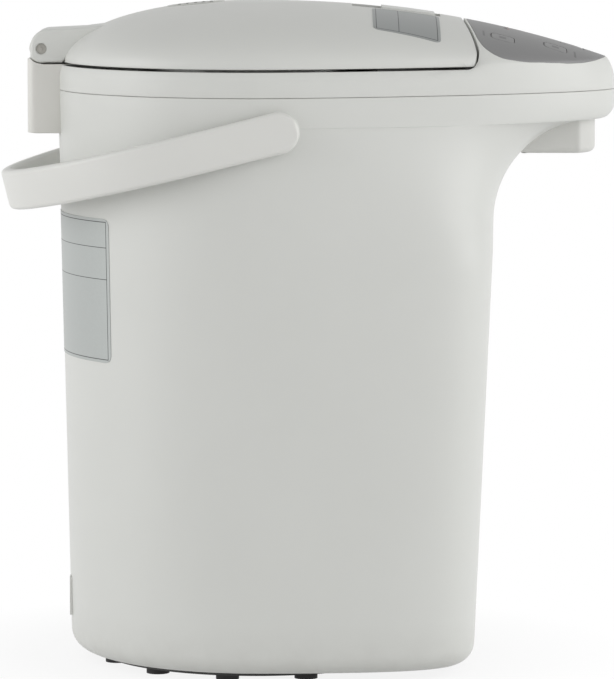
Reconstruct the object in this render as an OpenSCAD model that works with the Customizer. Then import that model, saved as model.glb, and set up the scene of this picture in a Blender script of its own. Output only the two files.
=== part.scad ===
// Electric thermo pot: an egg-shaped case with a beak, a domed lid hinged at the back, a U-shaped carrying
// handle, a swivel base, a stainless inner pot and an electric pump that feeds the nozzle under the beak.
// The origin is where the swivel axis meets the table. +Z is up and the beak points towards -Y.

/* [Case] */
// Radius of the round back at the foot of the case
foot_r = 94.2; // [88:0.1:98]
// Radius of the round back at the seam under the top cover
seam_r = 99.9; // [98:0.1:101]
// Height of the case's lower edge above the table
case_z = 4.5; // [4:0.1:5]
// Height of the seam between case and top cover
seam_z = 286.6; // [284:0.1:290]
// Rounding of the case's lower edge
edge_r = 10; // [6:0.5:11]
// Wall of the case and the covers
wall = 2.4; // [2:0.1:2.8]
// Reach of the front face at the foot
foot_front = 107.6; // [106:0.1:110]
// Reach of the front face where the beak starts
neck_front = 117; // [115:0.1:119]
// Drop from the seam to where the beak starts to curve out of the front
neck_drop = 64.6; // [58:0.1:70]

/* [Beak] */
// Reach of the beak's nose
nose_reach = 179; // [174:1:184]
// Forward run of the curve under the beak
arch_run = 55; // [50:1:58]
// Height of the curve under the beak
arch_rise = 50; // [44:1:51]
// Height of the rounding under the nose
nose_round = 9; // [7:0.5:11]
// Rise from the seam to the open rim that the lid closes on
rim_rise = 12.4; // [11:0.1:14]
// How far the rim leans in at the back
rim_lean = 2.6; // [1.5:0.1:3.5]

/* [Lid] */
// Rise from the rim to the lid's crown
crown_rise = 31.5; // [28:0.5:35]
// Open line between rim and lid
lid_gap = 1.2; // [0.8:0.1:1.6]
// Distance of the lid's front edge from the axis, in the middle
lid_front = 102; // [100:0.5:104]
// How much further forward the lid's front corners reach
lid_hollow = 5.6; // [4:0.2:9]
// Radius of the hole that the pot is filled through
mouth_r = 66; // [64:0.5:68]
// Radius of the lid's inner plug
plug_r = 60; // [56:0.5:60.5]
// Radius of the steam vent
vent_r = 14.6; // [12:0.2:16]
// Distance of the steam vent behind the axis
vent_y = 31; // [28:1:34]

/* [Hinge] */
// Distance of the hinge pin behind the axis
pin_y = 107.3; // [107:0.1:108]
// Rise from the rim to the hinge pin
pin_rise = 8; // [7.5:0.1:8.5]
// Radius of the hinge pin
pin_r = 2.3; // [2:0.1:2.6]
// Half width of the hinge
hinge_half = 19; // [16:0.5:22]
// Half width of the fixed knuckle between the lid's ears
knuckle_half = 9; // [7:0.5:12]
// Radius of the fixed knuckle
knuckle_r = 6.4; // [5.5:0.1:6.6]
// Distance of the hinge block's back face behind the axis
block_back = 114.4; // [114:0.1:116]
// Drop from the rim to the hinge block's lower edge
block_drop = 34; // [31:1:41]

/* [Handle] */
// Distance of the handle's pivots in front of the axis
pivot_y = 10.8; // [8:0.2:14]
// Drop from the seam to the handle's pivots
pivot_drop = 16.3; // [14:0.1:20]
// Space between the handle and the case at the pivots
handle_space = 1.43; // [1:0.01:4]
// Thickness of the handle's band
band_t = 6; // [5:0.2:6]
// Width of the handle's band
band_w = 20; // [16:0.5:22]
// Straight run of the handle before it bends
handle_run = 34.5; // [34:0.5:40]
// How far the handle hangs below level at rest
handle_drop = 14; // [12:0.5:16]
// Radius of the pivot studs
stud_r = 5; // [4:0.1:6]

/* [Pot] */
// Space between the inner pot and the skin of the case
pot_space = 14.2; // [14:0.1:18]
// Height of the pot's underside
pot_z = 52; // [50:1:54]
// Drop from the rim to the pot's flange
pot_drop = 22; // [22:0.5:25]
// Sheet thickness of the pot
sheet = 0.8; // [0.6:0.1:1]

/* [Panel] */
// Thickness of the panel's sheet
panel_t = 1.3; // [1:0.1:1.6]
// Margin between the beak's edge and the panel
panel_margin = 4.5; // [3.5:0.5:6]
// Size of a small button across and along the beak
key = [9.6, 11.6]; // [8:0.2:13]
// Size of the dispensing button across and along the beak
main_key = [24, 12]; // [8:0.5:26]
// Travel of the buttons
key_travel = 0.8; // [0.5:0.1:1]

/* [Base] */
// Radius of the swivel plate
swivel_r = 80.6; // [78:0.1:81]
// Thickness of the swivel plate
swivel_t = 2.4; // [2:0.1:2.5]
// Height of the rubber pads
pad_h = 2.5; // [2.3:0.1:2.6]
// Number of rubber pads
pad_count = 12; // [8:1:14]
// Radius of a rubber pad
pad_r = 5.7; // [5:0.1:6]
// Radius of the swivel plate's hub
hub_r = 12; // [10:0.5:15]
// Thickness of the base cover
base_t = 2.5; // [2:0.1:3]

/* [Works] */
// Distance of the pump in front of the axis
pump_y = 52; // [48:1:56]
// Radius of the pump housing
pump_r = 22; // [20:0.5:24]
// Radius of the pump's impeller
impeller_r = 15; // [12:0.5:17]
// Outer radius of the water pipes
pipe_r = 5; // [4:0.1:5.4]
// Distance of the riser pipe in front of the axis
riser_y = 97.5; // [96:0.5:99]
// Distance of the spout behind the beak's nose
spout_back = 29.5; // [26:0.5:33]
// Drop from the seam to the nozzle's lower edge
nozzle_drop = 31.6; // [29:0.1:36]
// Half width of the nozzle block
nozzle_half = 19; // [16:0.5:22]
// Half width of the power socket's recess
socket_half = 15; // [13:0.5:18]
// Height of the middle of the power socket
socket_z = 32; // [30:1:36]

/* [Labels] */
// Lower and upper height of the blank plate on the back
plate_z = [155, 226]; // [140:1:240]
// Half angle that the back plate wraps
plate_half_angle = 43; // [30:1:50]
// Thickness of the plates
plate_t = 0.3; // [0.2:0.05:0.5]

/* [Hidden] */
$fn = 64;

stations = 72;                  // points round each level of the shells
fit = 0.05;                     // radial running clearance of pins
air = 0.3;                      // clearance between pieces that move past each other
shell_grey = "#d3d3ce";

neck_z = seam_z - neck_drop;    // height at which the beak starts
rim_z = seam_z + rim_rise;      // height of the open rim
crown_z = rim_z + crown_rise;   // height of the lid's crown
lid_w = seam_r - rim_lean;      // half width of lid and rim at the axis
lid_reach = nose_reach - 9;     // where the lid's side curves would meet in front
lid_z = rim_z + lid_gap;        // lower edge of the lid
corner_r = 6.5;                 // rounding of the lid's front corners in plan
corner_y = lid_front + lid_hollow - corner_r;   // start of that rounding
round_a = 1.48;                 // exponents of the beak's plan curve
round_b = 1.11;
square_a = 0.833;               // exponents of the body's plan curve
square_b = 0.25;
beak_blend = 14;                // height below the curve at which the plan starts to change
beak_lead = 0.5;                // how far the plan runs ahead of the reach on the way up
drop_power = 2.15;              // how the crest falls towards the nose
nose_fall = 28.5;               // fall of the crest at the nose
floor_z = rim_z - 7;            // ledge round the filling mouth
pot_r = foot_r - pot_space;     // outer radius of the inner pot
pot_top = rim_z - pot_drop;     // height of the pot's flange
collar_z = pot_top + 3;         // underside of the collar over the pot's gasket
boss_r = band_w / 2 + 0.1;      // rounded end of the handle's band

function mix(a, b, t) = a + (b - a) * t;
function clamp(v, lo, hi) = min(max(v, lo), hi);
function side(z) = mix(foot_r, seam_r, (z - case_z) / (seam_z - case_z));
function body_front(z) = mix(foot_front, neck_front, (z - case_z) / (neck_z - case_z));

// One point of a plan outline: round at the back, a rounded curve with exponents a and b in front
function plan_point(phi, half, reach, a, b) =
    cos(phi) >= 0
    ? [half * sin(phi), half * cos(phi)]
    : [half * sign(sin(phi)) * pow(abs(sin(phi)), b), -reach * pow(abs(cos(phi)), a)];
function plan(half, reach, beak) = [
    for (i = [0:stations - 1])
        plan_point(360 * i / stations, half, reach,
            mix(square_a, round_a, beak), mix(square_b, round_b, beak))
];
function at_z(points, z) = [for (p = points) [p.x, p.y, z]];

// How far the plan at a height and reach has changed from the body's curve to the beak's
function beakness(z, reach) =
    let (foot = neck_z - beak_blend, t = clamp((z - foot) / (seam_z - foot), 0, 1),
        out = clamp((reach - neck_front) / (nose_reach - neck_front), 0, 1))
    out + (1 - out) * beak_lead * t;
// Levels of the case as [height, reach, half width, beakness], for its skin moved inwards by w
function case_levels(w) = let (run = neck_front + arch_run, out = nose_reach - run) concat(
    [for (t = [0:22.5:90])
        let (z = case_z + edge_r - (edge_r - w) * cos(t), inset = edge_r - (edge_r - w) * sin(t))
        [z, body_front(z) - inset, side(z) - inset, 0]],
    [for (t = [1 / 3, 2 / 3, 1])
        let (z = mix(case_z + edge_r, neck_z - beak_blend, t)) [z, body_front(z) - w, side(z) - w, 0]],
    [for (t = [0, 15, 30, 45, 60, 70, 80, 86, 90])
        let (z = neck_z + (arch_rise + w) * sin(t))
        [z, run - (arch_run + w) * cos(t), side(z) - w,
            beakness(neck_z + arch_rise * sin(t), run - arch_run * cos(t))]],
    [for (t = [30:30:90])
        let (z = neck_z + arch_rise + nose_round - (nose_round - w) * cos(t))
        [z, run + (out - w) * sin(t), side(z) - w,
            beakness(neck_z + arch_rise + nose_round * (1 - cos(t)), run + out * sin(t))]],
    [[seam_z, nose_reach - w, side(seam_z) - w, 1]]
);
function level_ring(l) = at_z(plan(l[2], l[1], l[3]), l[0]);

function reversed(list) = [for (i = [len(list) - 1:-1:0]) list[i]];
function flatten(lists) = [for (l = lists) for (p = l) p];

// Skin between rings that all have the same number of points; the last ring joins the first if closed
module ring_skin(rings, closed = true) {
    n = len(rings[0]);
    m = len(rings);
    strips = closed ? m : m - 1;
    sides = [
        for (j = [0:strips - 1]) for (i = [0:n - 1])
            let (a = j * n + i, b = j * n + (i + 1) % n, c = ((j + 1) % m) * n + (i + 1) % n,
                d = ((j + 1) % m) * n + i)
            each [[a, b, c], [a, c, d]]
    ];
    caps = closed ? [] : [
        for (i = [1:n - 2]) each [[0, i + 1, i], [(m - 1) * n, (m - 1) * n + i, (m - 1) * n + i + 1]]
    ];
    polyhedron(flatten(rings), concat(sides, caps));
}

// Height of the crest line above the axis plane, y pointing forward
function crest(f) =
    f < 0
    ? rim_z + (crown_z - rim_z) * sqrt(max(0, 1 - pow(-f / lid_w, 2.2)))
    : crown_z - nose_fall * pow(f / (nose_reach - 3), drop_power);
// Half width of a plan curve at a distance f in front of the axis
function half_at(f, half, reach) =
    f < 0
    ? sqrt(max(0, half * half - f * f))
    : half * pow(max(0, 1 - pow(f / reach, 2 / round_a)), round_b / 2);
// Dome over a plan curve, from its edge height up to the crest line
function dome(x, y, half, reach, edge_z) =
    let (w = half_at(-y, half, reach), s = w < 0.5 ? 1 : clamp(abs(x) / w, 0, 1))
    edge_z + (max(crest(-y), edge_z) - edge_z) * sqrt(1 - s * s);
function cover_dome(p) = dome(p.x, p.y, seam_r, nose_reach, rim_z);
function lid_dome(p) = dome(p.x, p.y, lid_w, lid_reach, lid_z + 1);

// Outline of the lid: round back, curved sides, rounded front corners and a hollow front edge
corner_x = half_at(corner_y, lid_w, lid_reach);
function lid_edge(x) =
    -(lid_front + lid_hollow * pow(x / (corner_x - corner_r), 2));
function lid_side_point(v) = let (f = corner_y * v) [half_at(f, lid_w, lid_reach), -f];
function lid_half_point(phi) =
    phi <= 90 ? [lid_w * sin(phi), lid_w * cos(phi)]
    : phi <= 125 ? lid_side_point((phi - 90) / 35)
    : phi <= 140 ? let (t = (phi - 125) * 6)
        [corner_x - corner_r * (1 - cos(t)), -corner_y - corner_r * sin(t)]
    : let (x = (corner_x - corner_r) * (180 - phi) / 40) [x, lid_edge(x)];
lid_outline = [
    for (i = [0:stations - 1])
        let (phi = 360 * i / stations, p = lid_half_point(phi <= 180 ? phi : 360 - phi))
        [phi <= 180 ? p.x : -p.x, p.y]
];
cover_outline = plan(seam_r, nose_reach, 1);
function moved(points, toward, d) = [
    for (i = [0:len(points) - 1])
        let (v = toward[i] - points[i]) points[i] + v * min(d / norm(v), 0.42)
];
function scaled(points, s) = [for (p = points) p * s];
function between(a, b, s) = [for (i = [0:len(a) - 1]) mix(a[i], b[i], s)];
function with_z(points, f) = [for (p = points) [p.x, p.y, f(p)]];

// Places a child on the beak's dome at [x, y], standing square to the surface
function slope(p) = let (e = 0.5) [
    (cover_dome([p.x + e, p.y]) - cover_dome([p.x - e, p.y])) / (2 * e),
    (cover_dome([p.x, p.y + e]) - cover_dome([p.x, p.y - e])) / (2 * e)
];
module on_beak(p) {
    g = slope(p);
    translate([p.x, p.y, cover_dome(p)])
        rotate([0, 0, atan2(g.y, g.x)])
            rotate([0, -atan(norm(g)), 0])
                rotate([0, 0, -atan2(g.y, g.x)])
                    children();
}
module rounded_bar(size, r, h) {
    linear_extrude(h)
        union() {
            square([size.x - 2 * r, size.y], center = true);
            square([size.x, size.y - 2 * r], center = true);
            for (sx = [-1, 1], sy = [-1, 1])
                translate([sx * (size.x / 2 - r), sy * (size.y / 2 - r)]) circle(r);
        }
}

// Buttons: [place, size]
main_at = [0, 22 - nose_reach];
lock_at = [-39, 58 - nose_reach];
timer_at = [-28, 31.5 - nose_reach];
reboil_at = [39, 58 - nose_reach];
warmth_at = [28, 31.5 - nose_reach];
key_places = [lock_at, timer_at, reboil_at, warmth_at];
key_proud = 0.2;
key_depth = 6;
stem_r = 2;
stem_end = 10;
board_z = rim_z - 8.6;
board_t = 1.6;
lamp_places = [for (i = [0:3]) [-12 + 8 * i, 55 - nose_reach]];
lamp_r = 1.4;

module button(p, size) {
    on_beak(p) {
        translate([0, 0, -key_depth]) rounded_bar(size, 2.5, key_depth + key_proud);
        translate([0, 0, -stem_end]) cylinder(r = stem_r, h = stem_end - key_depth);
    }
}
module button_hole(p, size) {
    on_beak(p) translate([0, 0, -key_depth - 3])
        rounded_bar(size + [2 * air, 2 * air], 2.5 + air, key_depth + 8);
}
module button_holes() {
    button_hole(main_at, main_key);
    for (p = key_places) button_hole(p, key);
    for (p = lamp_places)
        translate([p.x, p.y, board_z + board_t]) cylinder(r = lamp_r + 0.1, h = 60);
}

// ---- housing ----
pivot_z = seam_z - pivot_drop;              // height of the handle's pivots
stud_inner = side(pivot_z) - wall - 0.2;    // inside of the case's wall at the pivots
handle_inner = side(pivot_z) + handle_space;    // inner face of the handle
handle_half = handle_inner + band_t;        // outer half width of the handle
spout_y = nose_reach - spout_back;
nozzle_z = seam_z - nozzle_drop;
nozzle_length = 39;
spout_hole_r = pipe_r + 2.5;
window_z = 72;                              // lower edge of the level window
window = [9, neck_z - 10 - window_z];       // its width and height
socket_h = 16;

module case_boss() {
    for (s = [-1, 1])
        translate([s * (stud_inner - 0.5), -pivot_y, pivot_z]) rotate([0, s * 90, 0])
            cylinder(r = boss_r - 1.6, h = handle_inner - air - stud_inner + 0.5);
}
module outer_case() {
    color(shell_grey)
    difference() {
        union() {
            ring_skin(concat([for (l = case_levels(0)) level_ring(l)],
                reversed([for (l = case_levels(wall)) level_ring(l)])));
            case_boss();
        }
        for (s = [-1, 1])
            translate([s * (stud_inner - 6), -pivot_y, pivot_z]) rotate([0, s * 90, 0])
                cylinder(r = stud_r + 0.1, h = 20);
        translate([0, -spout_y, neck_z]) cylinder(r = spout_hole_r, h = 58);
        translate([-window.x / 2, -neck_front - 5, window_z]) cube([window.x, 20, window.y]);
        translate([-socket_half - 2, foot_r - 14, socket_z - socket_h / 2 - 2])
            cube([2 * socket_half + 4, 20, socket_h + 4]);
    }
}

base_z = case_z + 0.9;
base_inset = edge_r + wall + 0.3;
screw_circle = 62;
screw_spots = [for (a = [45:90:315]) [screw_circle * cos(a), screw_circle * sin(a)]];
hub_hole_r = hub_r + fit;
module base_cover() {
    color("#4a4a48")
    translate([0, 0, base_z])
        difference() {
            linear_extrude(base_t)
                polygon(plan(side(base_z) - base_inset, body_front(base_z) - base_inset, 0));
            translate([0, 0, -1]) cylinder(r = hub_hole_r, h = base_t + 2);
            for (p = screw_spots) translate([p.x, p.y, -1]) cylinder(r = 1.7, h = base_t + 2);
        }
}
module base_screws() {
    color("silver")
    for (p = screw_spots) translate([p.x, p.y, base_z + base_t]) {
        translate([0, 0, 0.05]) cylinder(r = 3, h = 1.8);
        translate([0, 0, -base_t]) cylinder(r = 1.6, h = base_t + 0.1);
    }
}

// Top cover: rim, ledge and collar round the mouth, and the hollow beak top under the panel
side_gap = 0.15;
panel_from = 132.5;
function panel_edge(phi) =
    let (u = clamp((abs(phi - 180) - 22) / (180 - panel_from - 22), 0, 1)) 1 - sqrt(1 - 0.9 * u * u);
function is_front(i) = abs(360 * i / stations - 180) <= 180 - panel_from + 0.1;
rim_outline = moved(cover_outline, lid_outline, rim_lean * 0.6);
ledge_outline = [
    for (i = [0:stations - 1])
        let (p = lid_outline[i], d = rim_outline[i] - p) p + d * min(lid_gap / norm(d), 0.4)
];
nose_soft = 3;                  // how much lower the rounded edge runs at the nose
function nose_share(i) = clamp(1 - abs(360 * i / stations - 180) / 25, 0, 1);
function panel_start(i) =
    let (from = cover_outline[i], v = ledge_outline[i] - from, s = panel_margin / norm(v),
        last = 1 - 2 / norm(v))
    is_front(i) ? mix(s, last, panel_edge(360 * i / stations)) : 0.55;
function panel_stop(i) =
    let (v = ledge_outline[i] - cover_outline[i]) is_front(i) ? 1 - 1.6 / norm(v) : 0.8;
function patch_ring(s, depth, spread = 0) = [
    for (i = [0:stations - 1])
        let (t = mix(panel_start(i), panel_stop(i), s) + spread,
            p = mix(cover_outline[i], ledge_outline[i], t))
        [p.x, p.y, cover_dome(p) - depth]
];
function wall_ring(share, depth) = [
    for (i = [0:stations - 1])
        let (v = ledge_outline[i] - cover_outline[i], s = min(wall / norm(v), 0.36),
            p = mix(cover_outline[i], ledge_outline[i], mix(s, 1 - s, share)))
        [p.x, p.y, cover_dome(p) - depth]
];
circle_out = [for (i = [0:stations - 1]) [sin(360 * i / stations), cos(360 * i / stations)]];
module top_cover() {
    z0 = seam_z + side_gap;
    skin_depth = panel_t + 0.1;
    color(shell_grey)
    difference() {
        ring_skin(concat(
            [at_z(cover_outline, z0), at_z(cover_outline, rim_z - 6)],
            [at_z(moved(cover_outline, lid_outline, rim_lean * 0.15), rim_z - 3)],
            [at_z(moved(cover_outline, lid_outline, rim_lean * 0.35), rim_z - 1)],
            [[for (i = [0:stations - 1])
                let (p = mix(cover_outline[i], ledge_outline[i], panel_start(i) * 0.5))
                [p.x, p.y, is_front(i) ? cover_dome(p) - nose_soft * nose_share(i) : rim_z]]],
            [[for (i = [0:stations - 1])
                let (p = mix(cover_outline[i], ledge_outline[i], panel_start(i)))
                [p.x, p.y, is_front(i) ? cover_dome(p) : rim_z]]],
            [for (s = [0, 0.25, 0.5, 0.75, 1]) [
                for (i = [0:stations - 1])
                    let (t = mix(panel_start(i), panel_stop(i), s),
                        p = mix(cover_outline[i], ledge_outline[i], t))
                    [p.x, p.y, is_front(i) ? cover_dome(p) - skin_depth : rim_z - 0.3 * s - 0.1]
            ]],
            [[for (i = [0:stations - 1])
                let (p = mix(cover_outline[i], ledge_outline[i], panel_stop(i) + 0.001))
                [p.x, p.y, is_front(i) ? cover_dome(p) : rim_z - 0.5]]],
            [[for (i = [0:stations - 1]) let (p = ledge_outline[i])
                [p.x, p.y, is_front(i) ? cover_dome(p) - 0.2 : rim_z - 0.8]]],
            [at_z(ledge_outline, floor_z)],
            [at_z(scaled(circle_out, mouth_r), floor_z)],
            [at_z(scaled(circle_out, mouth_r), collar_z)],
            [at_z(scaled(circle_out, pot_r + 6), collar_z)],
            [at_z(scaled(circle_out, pot_r + 6), collar_z + 3)],
            [at_z(scaled(circle_out, mouth_r + 3), collar_z + 3)],
            [at_z(scaled(circle_out, mouth_r + 3), floor_z - 3)],
            [[for (p = wall_ring(1, 0)) [p.x, p.y, floor_z - 3]]],
            [for (s = [1, 0.75, 0.5, 0.25, 0]) [
                for (p = wall_ring(s, skin_depth + wall)) [p.x, p.y, p.z]
            ]],
            [[for (p = wall_ring(0, 0)) [p.x, p.y, z0]]]
        ));
        button_holes();
        latch_slot();
    }
}
module control_panel() {
    skin = [for (s = [0, 0.25, 0.5, 0.75, 1]) patch_ring(s, 0, s == 0 ? 0.004 : s == 1 ? -0.004 : 0)];
    under = [for (s = [0, 0.25, 0.5, 0.75, 1]) patch_ring(s, panel_t, s == 0 ? 0.004 : s == 1 ? -0.004 : 0)];
    rows = [for (i = [1:stations - 2]) if (is_front(i - 1) && is_front(i + 1))
        concat([for (r = under) r[i]], reversed([for (r = skin) r[i]]))];
    color("#8c8c8b")
    difference() {
        ring_skin(rows, closed = false);
        button_holes();
    }
}

// ---- hinge ----
seat_r = knuckle_r + 1;
pin_z = rim_z + pin_rise;
block_z = rim_z - block_drop;
block_depth = 34.4;             // before the case is taken out of it
block_round = 4;
module pin_line(r, half) {
    translate([-half, pin_y, pin_z]) rotate([0, 90, 0]) cylinder(r = r, h = 2 * half);
}
module hinge_bracket() {
    color(shell_grey)
    difference() {
        union() {
            difference() {
                translate([0, 0, block_z])
                    linear_extrude(rim_z + 3.4 - block_z)
                        union() {
                            translate([-hinge_half, block_back - block_depth])
                                square([2 * hinge_half, block_depth - block_round]);
                            translate([-hinge_half + block_round, block_back - block_depth])
                                square([2 * (hinge_half - block_round), block_depth]);
                            for (s = [-1, 1])
                                translate([s * (hinge_half - block_round), block_back - block_round])
                                    circle(r = block_round);
                        }
                pin_line(seat_r, hinge_half + 1);
                translate([-hinge_half - 1, 70, rim_z + 0.2])
                    cube([2 * hinge_half + 2, pin_y - 70, 10]);
                translate([-hinge_half - 1, 70, block_z - 1])
                    rotate([5, 0, 0]) translate([0, 0, -10]) cube([2 * hinge_half + 2, 60, 9]);
            }
            pin_line(knuckle_r, knuckle_half);
            translate([-knuckle_half, pin_y - knuckle_r, rim_z - 2])
                cube([2 * knuckle_half, knuckle_r + 3, pin_z - rim_z + 1]);
        }
        translate([0, 0, case_z]) cylinder(r1 = foot_r + 0.1, r2 = seam_r + 0.1, h = seam_z - case_z);
        translate([0, 0, seam_z - 1]) cylinder(r = seam_r + 0.1, h = rim_z - seam_z + 1.1);
        pin_line(pin_r + 0.02, hinge_half + 1);
    }
}
module hinge_pin() {
    color("#9a9a94") pin_line(pin_r, hinge_half - 0.8);
}

module handle_studs() {
    color("#b0b0aa")
    for (s = [-1, 1]) translate([0, -pivot_y, pivot_z]) rotate([0, s * 90, 0]) {
        translate([0, 0, stud_inner - 3]) cylinder(r = stud_r, h = handle_half - 1.6 - stud_inner + 3);
        translate([0, 0, stud_inner - 5.2]) cylinder(r = stud_r + 3, h = 2.2);
    }
}
module level_window() {
    color("#5b6468", 0.6)
    along_x(-window.x / 2 + 0.2, window.x - 0.4)
        polygon([for (p = [[0.3, 0.2], [1.9, 0.2], [1.9, window.y - 0.2], [0.3, window.y - 0.2]])
            [p.x - body_front(window_z + p.y), window_z + p.y]]);
}

// ---- nozzle and water way ----
pipe_z = neck_z + arch_rise + wall + pipe_r + 2.6;  // height of the pipe inside the beak
pipe_wall = 1.2;
outlet_z = 36;                  // height of the pump's outlet
valve_y = (riser_y + spout_y) / 2;          // distance of the tip valve in front of the axis
valve_r = 7.5;
ball_r = 4.5;
valve_foot = pipe_z - pipe_r - 6;

// Solid run of round rod through points, with round bends
module rod_run(points, r, knob = 0) {
    for (k = [1:len(points) - 1]) {
        a = points[k - 1];
        v = points[k] - a;
        translate(a) rotate([0, acos(v.z / norm(v)), atan2(v.y, v.x)]) cylinder(r = r, h = norm(v));
        if (k > 1) translate(a) sphere(r = r + knob);
    }
}
module pipe_run(points, r, t, starts = 1, ends = 1) {
    n = len(points) - 1;
    first = (points[1] - points[0]) / norm(points[1] - points[0]);
    last = (points[n] - points[n - 1]) / norm(points[n] - points[n - 1]);
    none = [0, 0, 0];
    longer = [for (k = [0:n]) points[k] - (k == 0 ? first * starts : none) + (k == n ? last * ends : none)];
    difference() {
        rod_run(points, r);
        rod_run(longer, r - t);
    }
}
module beak_below() {
    ring_skin([for (l = case_levels(-0.1)) level_ring(l)], closed = false);
}
module nozzle_cover() {
    color("#cfcfca")
    difference() {
        translate([0, -spout_y, nozzle_z])
            rounded_bar([2 * nozzle_half, nozzle_length], 8, 18);
        translate([0, -spout_y, nozzle_z - 1]) cylinder(r = spout_hole_r, h = 40);
        beak_below();
    }
}
module riser_pipe() {
    color("#e8e8e4")
    pipe_run([[0, -pump_y - pump_r, outlet_z], [0, -riser_y, outlet_z], [0, -riser_y, pipe_z],
        [0, -valve_y + valve_r + 0.05, pipe_z]], pipe_r, pipe_wall);
}
module spout_pipe() {
    color("#d8d8d2") {
        difference() {
            union() {
                translate([0, -valve_y, valve_foot]) cylinder(r = valve_r, h = pipe_r * 2 + 7);
                pipe_run([[0, -valve_y - valve_r + 1, pipe_z], [0, -spout_y, pipe_z],
                    [0, -spout_y, nozzle_z + 1]], pipe_r, pipe_wall);
            }
            translate([0, -valve_y, valve_foot + 1]) cylinder(r = ball_r + 0.4, h = pipe_r * 2 + 5);
            translate([0, -valve_y + valve_r + 1, pipe_z]) rotate([90, 0, 0])
                cylinder(r = 2.6, h = 2 * valve_r + 4);
        }
    }
}
module tip_valve_ball() {
    color("#c0c0c0") translate([0, -valve_y, valve_foot + 1 + ball_r]) sphere(r = ball_r);
}

// ---- labels left blank ----
module rear_plate() {
    color("#b2b6b4")
    rotate([0, 0, 90 - plate_half_angle])
        rotate_extrude(angle = 2 * plate_half_angle)
            polygon([[side(plate_z[0]) + 0.08, plate_z[0]], [side(plate_z[0]) + plate_t, plate_z[0]],
                [side(plate_z[1]) + plate_t, plate_z[1]], [side(plate_z[1]) + 0.08, plate_z[1]]]);
}

// ---- pot and heating ----
flange_r = pot_r + 5;
gasket_w = 15;
pot_hole_r = 6;
module inner_pot() {
    color("#b9babb")
    difference() {
        union() {
            translate([0, 0, pot_z]) cylinder(r = pot_r, h = pot_top - pot_z);
            translate([0, 0, pot_top - sheet]) cylinder(r = flange_r, h = sheet);
            translate([0, -pump_y, pot_z - 3]) cylinder(r = pot_hole_r + sheet, h = 4);
        }
        translate([0, 0, pot_z + sheet]) cylinder(r = pot_r - sheet, h = pot_top);
        translate([0, -pump_y, pot_z - 4]) cylinder(r = pot_hole_r, h = 8);
    }
}
module ring(r1, r2, z1, z2) {
    translate([0, 0, z1]) difference() {
        cylinder(r = r2, h = z2 - z1);
        translate([0, 0, -1]) cylinder(r = r1, h = z2 - z1 + 2);
    }
}
module mouth_gasket() {
    color("#e6e6e2") ring(flange_r - gasket_w, flange_r, pot_top + 0.02, collar_z - 0.02);
}
band_h = 28;
jacket_r = pot_r + 5.5;
module insulation_jacket() {
    color("#e9e4d2") ring(jacket_r - 3.3, jacket_r, pot_z + 10, pot_top - 12);
}
module heater_band() {
    color("#8f8a80") ring(pot_r + 0.1, pot_r + 1.6, pot_z + 12, pot_z + 12 + band_h);
}
module heater_plate() {
    color("#9a9488")
    difference() {
        translate([0, 0, pot_z - 2.6]) cylinder(r = pot_r - 18, h = 2.5);
        translate([0, -pump_y, pot_z - 4]) cylinder(r = pot_hole_r + sheet + 3, h = 6);
    }
}
module thermostat() {
    color("#d9d4c4") translate([0, 12, pot_z - 2.7 - 9]) {
        cylinder(r = 8, h = 9);
        for (s = [-1, 1]) translate([s * 4 - 1.5, -0.4, -5]) cube([3, 0.8, 5.5]);
    }
}
fuse_length = 28;
fuse_lead = 8;
module thermal_fuse() {
    color("#c9c9c4") translate([-fuse_length / 2, 30, pot_z - 2.7 - 2.1]) rotate([0, 90, 0]) {
        cylinder(r = 2, h = fuse_length);
        translate([0, 0, -fuse_lead]) cylinder(r = 0.6, h = fuse_length + 2 * fuse_lead);
    }
}
stand_legs = [45, 135, 240, 300];
module pot_stand() {
    color("#55534f") {
        ring(pot_r - 12, pot_r - 4, pot_z - 4, pot_z - 0.05);
        for (a = stand_legs) rotate([0, 0, a]) translate([pot_r - 11, -5, base_z + base_t + 2.2])
            cube([6, 10, pot_z - base_z - base_t - 4.2]);
        for (a = stand_legs) rotate([0, 0, a]) translate([pot_r - 13, -5, base_z + base_t])
            cube([8, 10, 2.4]);
    }
}

// ---- pump ----
chamber_z = 29;                 // underside of the pump chamber
chamber_h = 13;
magnet_r = 11;
motor_r = 12;
module at_pump(z) { translate([0, -pump_y, z]) children(); }
module pump_housing() {
    color("#dcdcd6")
    at_pump(chamber_z) difference() {
        union() {
            cylinder(r = pump_r, h = chamber_h);
            cylinder(r = pump_r - 6, h = chamber_h);
        }
        translate([0, 0, 1.5]) cylinder(r = impeller_r + 3, h = chamber_h);
        translate([0, 1, outlet_z - chamber_z]) rotate([90, 0, 0])
            cylinder(r = pipe_r - pipe_wall, h = pump_r + 2);
    }
}
module pump_cover() {
    color("#dcdcd6")
    at_pump(chamber_z + chamber_h + 0.02) difference() {
        cylinder(r = pump_r, h = 1.6);
        translate([0, 0, -1]) cylinder(r = 4.5, h = 4);
    }
}
module impeller() {
    vanes = 6;
    color("#f0f0ec")
    at_pump(chamber_z + 2.5) {
        cylinder(r = impeller_r, h = 2);
        cylinder(r = 3, h = 8);
        for (k = [0:vanes - 1]) rotate([0, 0, 360 * k / vanes]) translate([2, -0.6, 1.5])
            cube([impeller_r - 3, 1.2, 5]);
    }
}
module drive_magnet() {
    color("#3c3c3e")
    at_pump(chamber_z - 4.3) difference() {
        cylinder(r = magnet_r, h = 4);
        translate([0, 0, -1]) cylinder(r = 1.55, h = 6);
    }
}
module pump_motor() {
    color("#a9aaab")
    at_pump(base_z + base_t + 1.6) {
        cylinder(r = motor_r, h = chamber_z - 5.5 - base_z - base_t - 1.6);
        cylinder(r = 1.5, h = chamber_z - 0.6 - base_z - base_t - 1.6);
        translate([-motor_r - 3, -4, -1.6]) cube([2 * motor_r + 6, 8, 2]);
    }
}
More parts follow.
